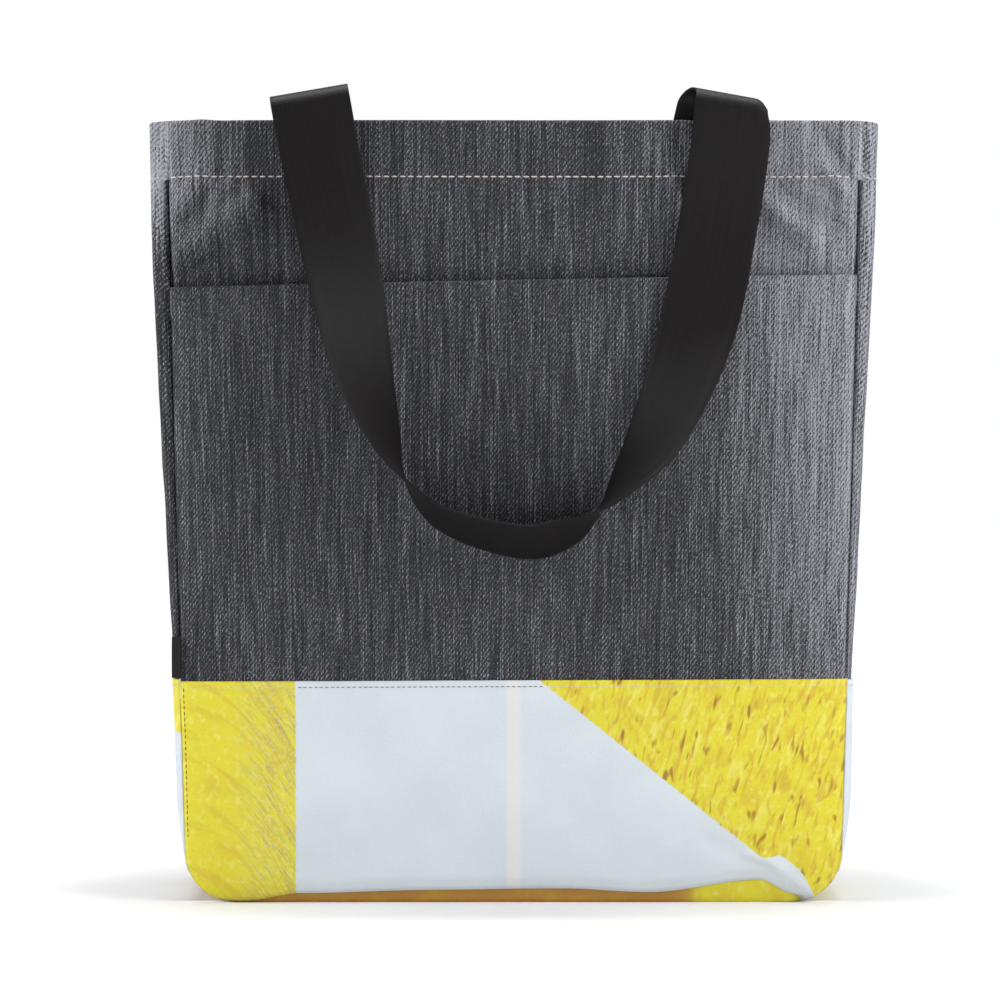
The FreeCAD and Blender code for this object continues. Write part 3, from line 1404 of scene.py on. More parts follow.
@dataclass(frozen=True)
class Finishes:
    """Every material of the bag, made once."""

    denim: Material
    reverse: Material
    webbing: Material
    tape: Material
    ribbon: Material
    pale_thread: Material
    grey_thread: Material
    rust_thread: Material
    print_front: Material
    print_back: Material
    print_left: Material
    print_right: Material
    print_bottom: Material
    print_reverse: Material

    @classmethod
    def make(cls) -> "Finishes":
        """Builds all the materials.

        Returns:
            The materials.
        """
        printed = PrintedCloth()
        reverse = Denim(
            shade=(0.030, 0.031, 0.036),
            body=(0.120, 0.122, 0.135),
            fleck=(0.36, 0.36, 0.38),
        )
        return cls(
            denim=Denim().make("slubby_denim"),
            reverse=reverse.make("denim_reverse"),
            webbing=Webbing().make("satin_webbing"),
            tape=PlainCloth((0.022, 0.022, 0.025)).make("binding_tape"),
            ribbon=PlainCloth((0.005, 0.005, 0.006), roughness=0.8).make("label_ribbon"),
            pale_thread=PlainCloth((0.60, 0.54, 0.53), roughness=0.6).make("pale_thread"),
            grey_thread=PlainCloth((0.26, 0.24, 0.20), roughness=0.6).make("grey_thread"),
            rust_thread=PlainCloth((0.30, 0.13, 0.05), roughness=0.6).make("rust_thread"),
            print_front=printed.make("coated_print_front", Print.FRONT),
            print_back=printed.make("coated_print_back", Print.BACK),
            print_left=printed.make("coated_print_left", Print.LEFT),
            print_right=printed.make("coated_print_right", Print.RIGHT),
            print_bottom=printed.make("coated_print_bottom", Print.BOTTOM),
            print_reverse=PlainCloth((0.52, 0.53, 0.53), roughness=0.7).make("coating_reverse"),
        )


# ---------------------------------------------------------------------------- sub-assemblies


@dataclass
class Hem:
    """Turn of cloth at the top of a piece: up the face, over, and down inside.

    Attributes:
        top: height of the fold.
        radius: of the fold, at the outer face.
        turned: how far the cloth goes down inside.
    """

    top: float
    radius: float
    turned: float

    def rows(self, low: float, step: float) -> list[float]:
        """Grid lines along a cut that starts at height low.

        Args:
            low: height of the cut's lower edge.
            step: spacing on the flat stretches.

        Returns:
            Distances along the cut, closer together in the fold.
        """
        flat = self.top - self.radius - low
        over = flat + math.pi * self.radius
        rows = spaced(0, flat, step) + spaced(flat, over, self.radius / 2)[1:]
        return rows + spaced(over, over + self.turned, step * 2)[1:]

    def follow(self, distance: float, low: float) -> tuple[float, float]:
        """Height and inward set of a point on the cut.

        Args:
            distance: along the cut from its lower edge.
            low: height of that edge.

        Returns:
            Height, and how far inside the outer face the point lies.
        """
        flat = self.top - self.radius - low
        if distance <= flat:
            return low + distance, 0.0
        angle = (distance - flat) / self.radius
        if angle <= math.pi:
            return low + flat + self.radius * math.sin(angle), self.radius * (1 - math.cos(angle))
        return low + flat - (angle - math.pi) * self.radius, 2 * self.radius


@dataclass
class FacePiece:
    """A full-width piece of a face: panel, pocket or base band.

    Attributes:
        form: the bag's form.
        hem: its turned top edge.
        low: height of its lower edge.
        out: outward distance of its face at a place across and up.
        thickness: of the cloth.
        tilt: how much its top edge rises per metre across.
        follow_seam: whether its lower edge follows the wandering bottom seam.
        seam_reach: how far up the cloth that still tells.
        edge: width of the finely divided stretch beside a side seam.
        edge_step: spacing of the grid there.
        step: spacing elsewhere.
    """

    form: BagForm
    hem: Hem
    low: float
    out: Callable[[float, float], float]
    thickness: float
    tilt: float = 0.0
    follow_seam: bool = False
    seam_reach: float = 0.030
    edge: float = 0.012
    edge_step: float = 0.0013
    step: float = 0.0024

    def point(self, share: float, distance: float) -> Vector:
        """Where a point of the cut lies.

        Args:
            share: -1 at the left seam, 1 at the right seam.
            distance: along the cut from its lower edge.

        Returns:
            The point on the front of the bag.
        """
        up, inward = self.hem.follow(distance, self.low)
        half = self.form.half_width(up)
        across = share * half
        climb = smooth(up, self.low, self.hem.top)
        raised = up + self.tilt * across * climb
        if self.follow_seam:
            held = 1 - smooth(up, self.low, self.low + self.seam_reach)
            raised += (self.form.bottom_seam(across) - self.low) * held
        return Vector((across, self.form.front - self.out(across, up) + inward, raised))

    def build(self, name: str, finishes: Sequence[Material], back: bool = False) -> Piece:
        """Makes the piece.

        Args:
            name: the piece's name.
            finishes: outer and reverse materials.
            back: whether it is the back's copy of the piece.

        Returns:
            The new object.
        """
        half = self.form.half_width(self.hem.top)
        columns = edged(-half, half, self.edge, self.edge_step, self.step)

        def place(s: float, t: float) -> Vector:
            """A point of the cut, s across and t along it."""
            return self.point(s / half, t)

        rows = self.hem.rows(self.low, self.step)
        laid = turned_round(place) if back else place
        return lay_cloth(name, columns, rows, laid, self.thickness, finishes)


@dataclass
class Face:
    """The front or the back of the bag, with its threads.

    Attributes:
        form: the bag's form.
        finishes: the bag's materials.
        pocket_tilt: how much the pocket's mouth rises per metre across.
        band_tilt: the same for the band's top edge.
        band_foot: height of the band's lower edge.
        front_lap: how far the front band stands further out, over the pocket.
        hem_end: from the hem's last stitch to the side seam.
        band_end: the same for the band's row.
        left_print: last place of the left yellow and the first beyond it.
        centre: last place of the darker thread and the first beyond it.
        seam_row: from the left seam to the row beside it, and that row's length.
    """

    form: BagForm
    finishes: Finishes
    pocket_tilt: float = 0.0185
    band_tilt: float = 0.004
    band_foot: float = 0.0012
    front_lap: float = 0.0010
    proud: float = 0.0003
    edge_proud: float = 0.0001
    hem_end: float = 0.001
    band_end: float = 0.002
    left_print: tuple[float, float] = (-0.1115, -0.1105)
    centre: tuple[float, float] = (0.0165, 0.0175)
    seam_row: tuple[float, float] = (0.0018, 0.080)

    def panel(self) -> FacePiece:
        """The denim panel with its hem."""
        form = self.form
        hem = Hem(form.rim, DENIM_FOLD, form.rim - form.hem)
        return FacePiece(form, hem, form.band_top - form.lap, form.panel_out, DENIM)

    def pocket(self) -> FacePiece:
        """The pocket with its folded mouth."""
        form = self.form
        hem = Hem(form.pocket_top, POCKET_FOLD, POCKET_TURN)
        low = form.band_top - form.lap
        return FacePiece(form, hem, low, form.pocket_face_out, POCKET_DENIM, tilt=self.pocket_tilt)

    def band(self, extra: float) -> FacePiece:
        """The coated base band.

        Args:
            extra: how far it stands further out at its top edge.

        Returns:
            The band.
        """
        form = self.form

        def out(across: float, up: float) -> float:
            """Outward distance of the band's face."""
            return form.band_out(across, up) + extra * form.over_denim(up)

        return FacePiece(
            form, Hem(form.band_top, COATED_FOLD, BAND_TURN), self.band_foot, out, COATED,
            tilt=self.band_tilt, follow_seam=True,
        )

    def row(
        self, name: str, piece: FacePiece, up: float, proud: float, thread: Thread,
        finish: Material, limits: tuple[float, float], back: bool = False,
    ) -> Piece:
        """Sews one level row of stitches on a piece.

        Args:
            name: the row's name.
            piece: the piece that it is sewn on.
            up: the row's height.
            proud: how far the thread's middle stands off the cloth.
            thread: the thread.
            finish: its material.
            limits: first and last place across.
            back: whether it is on the back.

        Returns:
            The stitches.
        """
        half = self.form.half_width(up)

        def at(distance: float) -> Vector:
            """The point on the cloth at a distance along the row."""
            point = piece.point((limits[0] + distance) / half, up - piece.low)
            point.y -= proud
            return half_turn(point) if back else point

        return thread.sew(name, finish, limits[1] - limits[0], at)

    def fasten(self, body: str, pieces: Sequence[tuple[Piece, str, str, Flat]]) -> None:
        """Fastens the cloths of one side to their body, hides their CAD nodes and logs them.

        Args:
            body: front or back.
            pieces: each cloth with its node, its material slot and its flat cut.
        """
        for piece, node, slot, flat in pieces:
            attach(piece, body)
            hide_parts(node)
            LOG.info("built %s", piece.name)

    def build_front(self) -> None:
        """Makes the front's panel, pocket and band, and their threads."""
        made = self.finishes
        panel, pocket, band = self.panel(), self.pocket(), self.band(self.front_lap)
        denim, printed = [made.denim, made.reverse], [made.print_front, made.print_reverse]
        self.fasten("front", (
            (panel.build("front_panel_cloth", denim), "front_panel", "denim", PANEL_CUT),
            (pocket.build("front_pocket_cloth", denim), "front_pocket", "denim", POCKET_CUT),
            (band.build("front_base_cloth", printed), "front_base_band", "coated_cloth", BAND_CUT),
        ))
        half = self.form.half_width
        wide = half(self.form.hem) - self.hem_end
        level = self.form.band_top - BAND_ROW
        edge = half(level) - self.band_end
        rows = [self.row(
            "front_hem_stitches", panel, self.form.hem, self.proud,
            TOP_THREAD, made.pale_thread, (-wide, wide),
        )]
        stretches = (
            ("left", made.pale_thread, (-edge, self.left_print[0])),
            ("middle", made.grey_thread, (self.left_print[1], self.centre[0])),
            ("right", made.pale_thread, (self.centre[1], edge)),
        )
        for label, thread, limits in stretches:
            name = f"front_band_stitches_{label}"
            rows.append(self.row(name, band, level, self.edge_proud, EDGE_THREAD, thread, limits))

        def down_the_seam(distance: float) -> Vector:
            """The point on the band beside its left seam, at a distance below the row above."""
            up = level - distance
            point = band.point(self.seam_row[0] / half(up) - 1, up - band.low)
            return point - Vector((0, self.edge_proud, 0))

        rows.append(SEAM_THREAD.sew(
            "front_band_seam_stitches", made.rust_thread, self.seam_row[1], down_the_seam,
        ))
        for row in rows:
            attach(row, "front")

    def build_back(self) -> None:
        """Makes the back's panel and band, and their threads."""
        made = self.finishes
        panel, band = self.panel(), self.band(0.0)
        panel_cloth = panel.build("back_panel_cloth", [made.denim, made.reverse], back=True)
        band_cloth = band.build("back_base_cloth", [made.print_back, made.print_reverse], back=True)
        self.fasten("back", (
            (panel_cloth, "back_panel", "denim", PANEL_CUT),
            (band_cloth, "back_base_band", "coated_cloth", BAND_CUT),
        ))
        wide = self.form.half_width(self.form.hem) - self.hem_end
        level = self.form.band_top - BAND_ROW
        edge = self.form.half_width(level) - self.band_end
        stretches = (
            ("back_hem_stitches", panel, self.form.hem, self.proud, TOP_THREAD, wide),
            ("back_band_stitches", band, level, self.edge_proud, EDGE_THREAD, edge),
        )
        for name, piece, up, proud, thread, reach in stretches:
            row = self.row(name, piece, up, proud, thread, made.pale_thread, (-reach, reach), back=True)
            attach(row, "back")


@dataclass
class Gusset:
    """One side of the bag: denim above, coated cloth at the foot, creased down the middle.

    Attributes:
        form: the bag's form.
        finishes: the bag's materials.
        side: -1 for the left, 1 for the right.
        level_left: share of the left gusset's depth that stays level beside a seam.
        level_right: the same for the right gusset.
        base_proud: how far the coated cloth lies outside the denim.
        base_foot: its lower edge, as a share of the foot's height.
        edge: width of the finely divided stretch beside a seam.
        give: half the width of cloth that would bend at the crease; not used.
    """

    form: BagForm
    finishes: Finishes
    side: int
    droop: float = 0.0035
    droop_from: float = 0.02
    level_left: float = 0.07
    level_right: float = 0.03
    base_proud: float = 0.0013
    base_foot: float = 0.6
    edge: float = 0.012
    edge_step: float = 0.0012
    step: float = 0.0022
    row_step: float = 0.0026
    give: float = 0.004
    proud: float = 0.0003
    band_proud: float = 0.0016

    @property
    def name(self) -> str:
        """Left or right."""
        return "left" if self.side < 0 else "right"

    @property
    def seam(self) -> float:
        """Distance of the seams from the bag's middle plane."""
        return -self.form.front - self.form.seam_depth

    def point(self, share: float, up: float, inward: float, proud: float = 0.0) -> Vector:
        """Where a point of the gusset lies.

        Args:
            share: 0 at the front seam, 1 at the rear seam.
            up: height.
            inward: how far inside the outer face.
            proud: how far outside it.

        Returns:
            The point.
        """
        out = self.form.gusset_out(share, up, self.side) - inward + proud
        level = self.level_right if self.side > 0 else self.level_left
        reach = smooth(min(share, 1 - share), level, 0.5)
        droop = self.droop * smooth(up, self.form.rim - self.droop_from, self.form.rim) * reach
        across = self.side * (self.form.half_width(up) + out)
        depth = -self.seam + 2 * self.seam * share - self.form.gusset_lip(share, up)
        return Vector((across, depth, up - droop))

    def cloth(
        self, name: str, low: float, hem: Hem, proud: float, thickness: float, finishes: Sequence[Material],
    ) -> Piece:
        """Makes one cloth of the gusset.

        Args:
            name: the piece's name.
            low: height of its lower edge.
            hem: its turned top edge.
            proud: how far it lies outside the denim.
            thickness: of the cloth.
            finishes: outer and reverse materials.

        Returns:
            The new object.
        """
        width = 2 * self.seam
        columns = edged(0, width, self.edge, self.edge_step, self.step)

        def place(s: float, t: float) -> Vector:
            """A point of the cut; the left gusset's cut starts at the rear seam."""
            share = s / width if self.side > 0 else 1 - s / width
            up, inward = hem.follow(t, low)
            return self.point(share, up, inward, proud)

        return lay_cloth(name, columns, hem.rows(low, self.row_step), place, thickness, finishes)

    def bend(self, piece: Piece) -> None:
        """Bakes a piece's transform into its mesh."""
        across = self.side * self.form.half_width(self.form.rim / 2)
        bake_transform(piece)

    def build(self) -> None:
        """Makes the gusset's two cloths and their threads."""
        made = self.finishes
        form = self.form
        printed = made.print_left if self.side < 0 else made.print_right
        upper = self.cloth(
            f"{self.name}_gusset_cloth", form.band_top - form.lap,
            Hem(form.rim, DENIM_FOLD, form.rim - form.hem), 0.0, DENIM, [made.denim, made.reverse],
        )
        lower = self.cloth(
            f"{self.name}_gusset_base_cloth", form.foot * self.base_foot,
            Hem(form.band_top, COATED_FOLD, BAND_TURN), self.base_proud, COATED,
            [printed, made.print_reverse],
        )
        pieces = ((upper, "panel", "denim", GUSSET_CUT), (lower, "base", "coated_cloth", GUSSET_BASE_CUT))
        for piece, part, slot, flat in pieces:
            self.bend(piece)
            for half in ("front", "rear"):
                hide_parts(f"{self.name}_gusset_{half}_{part}")
            LOG.info("built %s", piece.name)
        rows = (
            ("hem", form.hem, self.proud, TOP_THREAD),
            ("band", form.band_top - BAND_ROW, self.band_proud, EDGE_THREAD),
        )
        for label, up, proud, thread in rows:
            def at(distance: float) -> Vector:
                """The point on the gusset at a distance from the front seam."""
                return self.point(distance / (2 * self.seam), up, 0.0, proud)

            name = f"{self.name}_gusset_{label}_stitches"
            self.bend(thread.sew(name, made.pale_thread, 2 * self.seam, at))


@dataclass
class Bottom:
    """The coated bottom, turned up at the sides and a little at the front and back.

    Attributes:
        form: the bag's form.
        finishes: the bag's materials.
        lap: how far it reaches up behind the bottom seam.
        clearance: how far it stays inside the side seams' set-back.
        set_turn: angle of the rounded side over which it is set in, in radians.
        edge: width of the finely divided stretch at the front and back.
    """

    form: BagForm
    finishes: Finishes
    lap: float = 0.0022
    least: float = 0.0020
    curl: float = 0.0042
    curl_power: float = 1.6
    clearance: float = 0.0016
    set_turn: float = 0.45
    tuck: float = 0.022
    edge: float = 0.006
    edge_step: float = 0.0004
    side_step: float = 0.0018
    step: float = 0.003
    keep: float = 0.155

    def point(self, s: float, t: float) -> Vector:
        """Where a point of the cut lies.

        Args:
            s: across, from the middle.
            t: from the rear edge to the front edge.

        Returns:
            The point.
        """
        flat = self.form.base_half - self.form.foot
        side = 1 if s > 0 else -1
        over = max(abs(s) - flat, 0.0)
        angle = over / self.form.foot
        normal = Vector((-side * math.sin(angle), 0, math.cos(angle)))
        across = side * (min(abs(s), flat) + self.form.foot * math.sin(angle))
        up = self.form.foot * (1 - math.cos(angle))
        depth = -self.form.front
        back_share = -depth + t
        edge = depth - abs(back_share)
        seam = self.form.bottom_seam(across if back_share > 0 else -across)
        highest = max((seam + self.lap) * (1 - min(angle, 1.0)), self.least)
        curled = max(1 - edge / self.curl, 0.0)
        rise = highest * curled ** self.curl_power
        set_in = (self.form.seam_depth + self.clearance) / depth * smooth(angle, 0, self.set_turn)
        y = -back_share * (1 - set_in) * (1 - self.tuck * curled ** 2)
        return Vector((across, y, up)) + normal * rise

    def build(self) -> None:
        """Makes the bottom, fastens it to the back's body and gives it its own mesh."""
        form = self.form
        flat = form.base_half - form.foot
        reach = flat + form.foot * math.pi / 2
        depth = -2 * form.front
        rows = edged(0, depth, self.edge, self.edge_step, self.step)
        columns = edged(-reach, reach, reach - flat, self.side_step, self.step)
        finishes = [self.finishes.print_bottom, self.finishes.print_reverse]
        piece = lay_cloth("bottom_panel_cloth", columns, rows, self.point, BOTTOM_CLOTH, finishes)
        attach(piece, "back")
        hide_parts("bottom_panel")
        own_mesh(piece)
        LOG.info("built %s", piece.name)


@dataclass(frozen=True)
class Station:
    """One given place on a hanging loop.

    Attributes:
        across: the webbing's middle, across the bag.
        up: its height.
        turn: degrees by which the webbing has turned about its length.
    """

    across: float
    up: float
    turn: float


FRONT_LOOP = (
    Station(-0.1030, 0.4065, 0), Station(-0.0982, 0.3810, 4), Station(-0.0909, 0.3470, 13),
    Station(-0.0850, 0.3160, 25), Station(-0.0757, 0.2700, 46), Station(-0.0657, 0.2390, 68),
    Station(-0.0555, 0.2175, 90), Station(-0.0350, 0.1962, 107), Station(0.0030, 0.1850, 114),
    Station(0.0250, 0.1890, 112), Station(0.0425, 0.2000, 92), Station(0.0570, 0.2165, 70),
    Station(0.0705, 0.2360, 50), Station(0.0850, 0.2690, 31), Station(0.0955, 0.3030, 12),
    Station(0.1032, 0.3430, 3), Station(0.1085, 0.3750, 0), Station(0.1118, 0.4045, 0),
)


@dataclass
class Handle:
    """One webbing handle: sewn ends inside, turns over the rim, and the hanging loop.

    Attributes:
        form: the bag's form.
        finishes: the bag's materials.
        stations: the hanging loop, from the left turn to the right turn.
        lean: degrees by which each leg leans at the rim, left and right.
        inner_lean: the same inside the bag.
        inner_shift: how far each leg lies to the side inside the bag.
        drop: how much lower the turns over the rim lie.
        drop_reach: how far below the rim that still tells.
        rounding: how far the outer edge sinks on each turn over the rim.
        width: of the webbing.
        radius: of the turn over the rim.
        sewn: length of a sewn end.
        back: whether it is the back's handle.
        shift: how far it is moved across.
        bedded: how far the turn's middle lies in front of the face that it goes over.
        clearance: gap between the loop and the pocket.
        crest: samples from the crest of a turn to the end of the leg.
        give: half the depth over which the strip bends as it swings; not used.
    """

    form: BagForm
    finishes: Finishes
    stations: Sequence[Station]
    lean: tuple[float, float] = (9.5, 8.0)
    inner_lean: tuple[float, float] = (10.0, 13.0)
    inner_shift: tuple[float, float] = (0.0, -0.0085)
    drop: float = 0.0
    drop_reach: float = 0.05
    rounding: tuple[float, float] = (0.0, 0.0060)
    width: float = 0.0400
    thickness: float = 0.0015
    radius: float = 0.0075
    sewn: float = 0.0360
    back: bool = False
    shift: float = 0.0
    bedded: float = 0.0030
    clearance: float = 0.0016
    sewn_steps: int = 14
    turn_steps: int = 18
    span_steps: int = 12
    crest: int = 7
    settled: float = 0.8
    rounded: tuple[float, float] = (0.28, 0.62)
    round_reach: float = 0.013
    round_drop: float = 0.9
    step: float = 0.0025
    bevel: float = 0.0004
    give: float = 0.0031
    box: float = 0.72
    box_inset: float = 0.004
    box_foot: float = 0.003
    box_proud: float = 0.0001

    def leg(self, side: int) -> list[tuple[Vector, Vector]]:
        """Middle and width direction from a sewn end's foot over the rim to the loop.

        Args:
            side: -1 for the left leg, 1 for the right one.

        Returns:
            Pairs of middle point and width direction, which points towards the loop's inside.
        """
        station = self.stations[0] if side < 0 else self.stations[-1]
        index = 0 if side < 0 else 1
        inner, outer, moved = self.inner_lean[index], self.lean[index], self.inner_shift[index]
        depth = self.form.front - (self.radius - self.bedded)
        centre = Vector((station.across, depth, station.up - self.drop))
        samples = []
        for step in range(self.sewn_steps + 1):
            samples.append((inner, 0.0, self.sewn * (1 - step / self.sewn_steps), moved))
        for step in range(1, self.turn_steps):
            share = step / self.turn_steps
            aside = moved * (1 - smooth(share, 0, self.settled))
            samples.append((inner + (outer - inner) * share, math.pi * share, 0.0, aside))
        pairs = []
        for lean, angle, below, aside in samples:
            tilt = math.radians(lean)
            up = Vector((side * math.sin(tilt), 0, math.cos(tilt)))
            across = Vector((-side * math.cos(tilt), 0, math.sin(tilt)))
            point = centre + Vector((aside, self.radius * math.cos(angle), 0))
            point += up * (self.radius * math.sin(angle) - below)
            pairs.append((point, across))
        return pairs

    def loop(self) -> list[tuple[Vector, Vector]]:
        """Middle and width direction along the hanging loop, left to right."""
        count = len(self.stations) - 1
        last = count * self.span_steps
        middles, turns = [], []
        against = self.form.pocket_out + self.clearance + self.thickness / 2
        top_gap = 2 * self.radius - self.bedded - against
        for index in range(last + 1):
            across, up, turn = self.between(index / self.span_steps)
            up -= self.drop * smooth(up, self.form.rim - self.drop_reach, self.form.rim)
            along = 1 - abs(2 * index / last - 1)
            stood = self.width / 2 * math.sin(math.radians(max(turn, 0.0)))
            out = against + top_gap * (1 - along) ** 2 + stood
            middles.append(Vector((across, self.form.front - out, up)))
            turns.append(math.radians(turn))
        pairs = []
        for index, (middle, turn) in enumerate(zip(middles, turns)):
            tangent = (middles[min(index + 1, len(middles) - 1)] - middles[max(index - 1, 0)]).normalized()
            outward = Vector((0, 1, 0)).cross(tangent).normalized()
            behind = tangent.cross(outward).normalized()
            pairs.append((middle, -outward * math.cos(turn) + behind * math.sin(turn)))
        return pairs

    def between(self, at: float) -> tuple[float, float, float]:
        """A smooth value between the stations.

        Args:
            at: station number, with a fraction.

        Returns:
            Place across, height and turn.
        """
        last = len(self.stations) - 1
        index = min(int(at), last - 1)
        share = at - index
        near = [self.stations[min(max(index + offset, 0), last)] for offset in (-1, 0, 1, 2)]
        values = []
        for key in ("across", "up", "turn"):
            a, b, c, d = (getattr(station, key) for station in near)
            curve = 2 * b + (c - a) * share + (2 * a - 5 * b + 4 * c - d) * share ** 2
            values.append(0.5 * (curve + (3 * b - a - 3 * c + d) * share ** 3))
        return values[0], values[1], values[2]

    def build(self, name: str, body: str, swing: str) -> None:
        """Makes the handle as one strip, and the stitching of its ends.

        Args:
            name: the CAD loop's name.
            body: the body that the ends are sewn to.
            swing: the body of the loop; not used.
        """
        pairs = self.leg(-1) + self.loop() + list(reversed(self.leg(1)))
        lengths = [0.0]
        for (first, _), (second, _) in zip(pairs, pairs[1:]):
            lengths.append(lengths[-1] + (second - first).length)
        index_of = {length: index for index, length in enumerate(lengths)}
        crests = (lengths[len(self.leg(-1)) - self.crest], lengths[self.crest - 1 - len(self.leg(1))])
        begins, full = (share * self.width for share in self.rounded)

        def place(s: float, t: float) -> Vector:
            """A point of the strip: s across it, t along it."""
            middle, across = pairs[index_of[t]]
            point = middle + across * s
            outer = smooth(-s, begins, full)
            for sink, crest in zip(self.rounding, crests):
                near = outer * math.exp(-((t - crest) / self.round_reach) ** 2)
                point += across * sink * near - Vector((0, 0, self.round_drop * sink * near))
            return self.on_its_side(point)

        columns = spaced(-self.width / 2, self.width / 2, self.step)
        finishes = [self.finishes.webbing]
        strip = lay_cloth(f"{name}_webbing", columns, lengths, place, self.thickness, finishes, centred=True)
        edge = strip.modifiers.new("edge", "BEVEL")
        edge.width = self.bevel
        edge.segments = 2
        edge.limit_method = "ANGLE"
        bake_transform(strip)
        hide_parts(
            name,
            f"{name}_left_end", f"{name}_right_end", f"{name}_left_bend", f"{name}_right_bend",
        )
        LOG.info("built %s, %.0f mm long", strip.name, lengths[-1] * 1000)
        for side in (-1, 1):
            self.box_stitch(name, body, side)

    def on_its_side(self, point: Vector) -> Vector:
        """The point moved across, and turned round for the back's handle."""
        moved = point + Vector((self.shift, 0, 0))
        return half_turn(moved) if self.back else moved

    def box_stitch(self, name: str, body: str, side: int) -> None:
        """Sews the box and cross that hold one end of the strip.

        Args:
            name: the handle's name.
            body: the body that the end is sewn to.
            side: -1 for the left end, 1 for the right one.
        """
        pairs = self.leg(side)[:self.sewn_steps + 1]
        foot, across = pairs[0]
        top = foot + (pairs[-1][0] - foot) * self.box
        reach = across * (self.width / 2 - self.box_inset)
        lift = Vector((0, self.thickness / 2 + self.box_proud, 0))
        lift += (top - foot).normalized() * self.box_foot
        corners = [corner + lift for corner in (foot - reach, foot + reach, top + reach, top - reach)]
        order = (0, 1, 2, 3, 0, 2, 3, 1)
        route = [corners[index] for index in order]
        lengths = [(second - first).length for first, second in zip(route, route[1:])]

        def at(distance: float) -> Vector:
            """The point on the box and cross at a distance along its route."""
            left = max(distance, 0.0)
            for first, second, length in zip(route, route[1:], lengths):
                if left <= length:
                    break
                left -= length
            return self.on_its_side(first.lerp(second, min(left / length, 1.0)))

        label = "left" if side < 0 else "right"
        row = BOX_THREAD.sew(f"{name}_{label}_box_stitch", self.finishes.grey_thread, sum(lengths), at)
        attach(row, body)


@dataclass
class Bindings:
    """Folded tape over the raw edges of the seams inside.

    Attributes:
        form: the bag's form.
        finishes: the bag's materials.
        upright_inset: how far an upright tape lies inside its node's outer face.
        level_inset: the same for a bottom seam's tape.
        edge_inset: from the node's edge to an upright tape.
        foot: from the node's lower face to a bottom seam's tape.
        gap: least distance from the cloth.
        band: width of the folded tape.
        seam: width of an upright node, without its lean.
    """

    form: BagForm
    finishes: Finishes
    upright_inset: float = 0.0015
    level_inset: float = 0.0030
    edge_inset: float = 0.0045
    foot: float = 0.0012
    gap: float = 0.0004
    layers: float = 0.0013
    band: float = 0.0068
    seam: float = 0.0070
    thickness: float = 0.0005
    uneven: Ripple = Ripple(60, 1, 2.0, 0.0003)
    step: float = 0.006

    def build(self) -> None:
        """Makes every binding from its node's box and direction."""
        for body, nodes in frame["record"]["behaviour"]["bodies"].items():
            for node in nodes:
                if node.endswith("_seam_binding"):
                    self.tape(node, body)

    def tape(self, name: str, body: str) -> None:
        """Makes one binding: a tape folded round a seam's raw edge.

        Args:
            name: the CAD node's name.
            body: the body that it rides on.
        """
        low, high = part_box(name)
        size = high - low
        upright = size.z > size.x
        facing = -1 if low.y > 0 else 1
        inset = self.upright_inset if upright else self.level_inset
        outer = (low.y if facing > 0 else high.y) + facing * inset
        run = size.z if upright else size.x
        lean = (size.x - self.seam) / size.z
        edge = 1 if high.x > 0 else -1
        section = ((0.0, 0.0), (0.8, 0.0), (1.0, 0.25), (1.0, 0.75), (0.8, 1.0), (0.0, 1.0))

        def place(s: float, t: float) -> Vector:
            """A point of the tape: s round the fold, t along the seam."""
            reach, layer = section[round(s)]
            y = outer + facing * (self.gap + layer * self.layers) + self.uneven.lift(t, s)
            if upright:
                at_edge = (high.x if edge > 0 else low.x) - edge * lean * (run - t)
                return Vector((at_edge - edge * (self.edge_inset + reach * self.band), y, low.z + t))
            across = low.x + t
            raised = self.form.bottom_seam(across) if facing > 0 else 0.0
            return Vector((across, y, low.z + self.foot + raised + reach * self.band))

        stops = spaced(0, len(section) - 1, 1)
        stations = spaced(0, run, self.step)
        finishes = [self.finishes.tape]
        piece = lay_cloth(f"{name}_tape", stops, stations, place, self.thickness, finishes, centred=True)
        face_outwards(piece)
        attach(piece, body)
        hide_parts(name)
        LOG.info("built %s", piece.name)


@dataclass
class SideLabel:
    """Folded black ribbon that stands out of the left front seam.

    Attributes:
        finishes: the bag's materials.
        layer: from the fold's middle to each of its two layers.
        flat: share of the ribbon's length in each layer; the fold lies between them.
        width: the most of the ribbon that shows.
        inset: from the node's edge to the fold.
    """

    finishes: Finishes
    layer: float = 0.0007
    flat: float = 0.35
    fold: float = 0.1
    width: float = 0.0042
    inset: float = 0.0016
    bow: float = 0.0006
    thickness: float = 0.0004
    round_step: float = 0.05
    step: float = 0.002

    def build(self) -> None:
        """Makes the label from its node's box."""
        low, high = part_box("side_label")
        width, height = min(high.x - low.x, self.width), high.z - low.z
        middle = (low.y + high.y) / 2

        def place(s: float, t: float) -> Vector:
            """A point of the ribbon: s round the fold, t up it."""
            if s < self.flat:
                reach, layer = (self.flat - s) / self.flat, -1
            elif s > 1 - self.flat:
                reach, layer = (s - (1 - self.flat)) / self.flat, 1
            else:
                angle = (s - 0.5) / (0.5 - self.flat) * math.pi / 2
                reach, layer = -self.fold * math.cos(angle), math.sin(angle)
            bow = self.bow * math.sin(math.pi * t / height)
            x = low.x + self.inset + reach * width
            return Vector((x, middle + layer * self.layer - bow, low.z + t))

        around = spaced(0, 1, self.round_step)
        up = spaced(0, height, self.step)
        finishes = [self.finishes.ribbon]
        piece = lay_cloth("side_label_ribbon", around, up, place, self.thickness, finishes, centred=True)
        face_outwards(piece)
        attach(piece, "front")
        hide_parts("side_label")
        LOG.info("built %s", piece.name)


# ---------------------------------------------------------------------------- studio


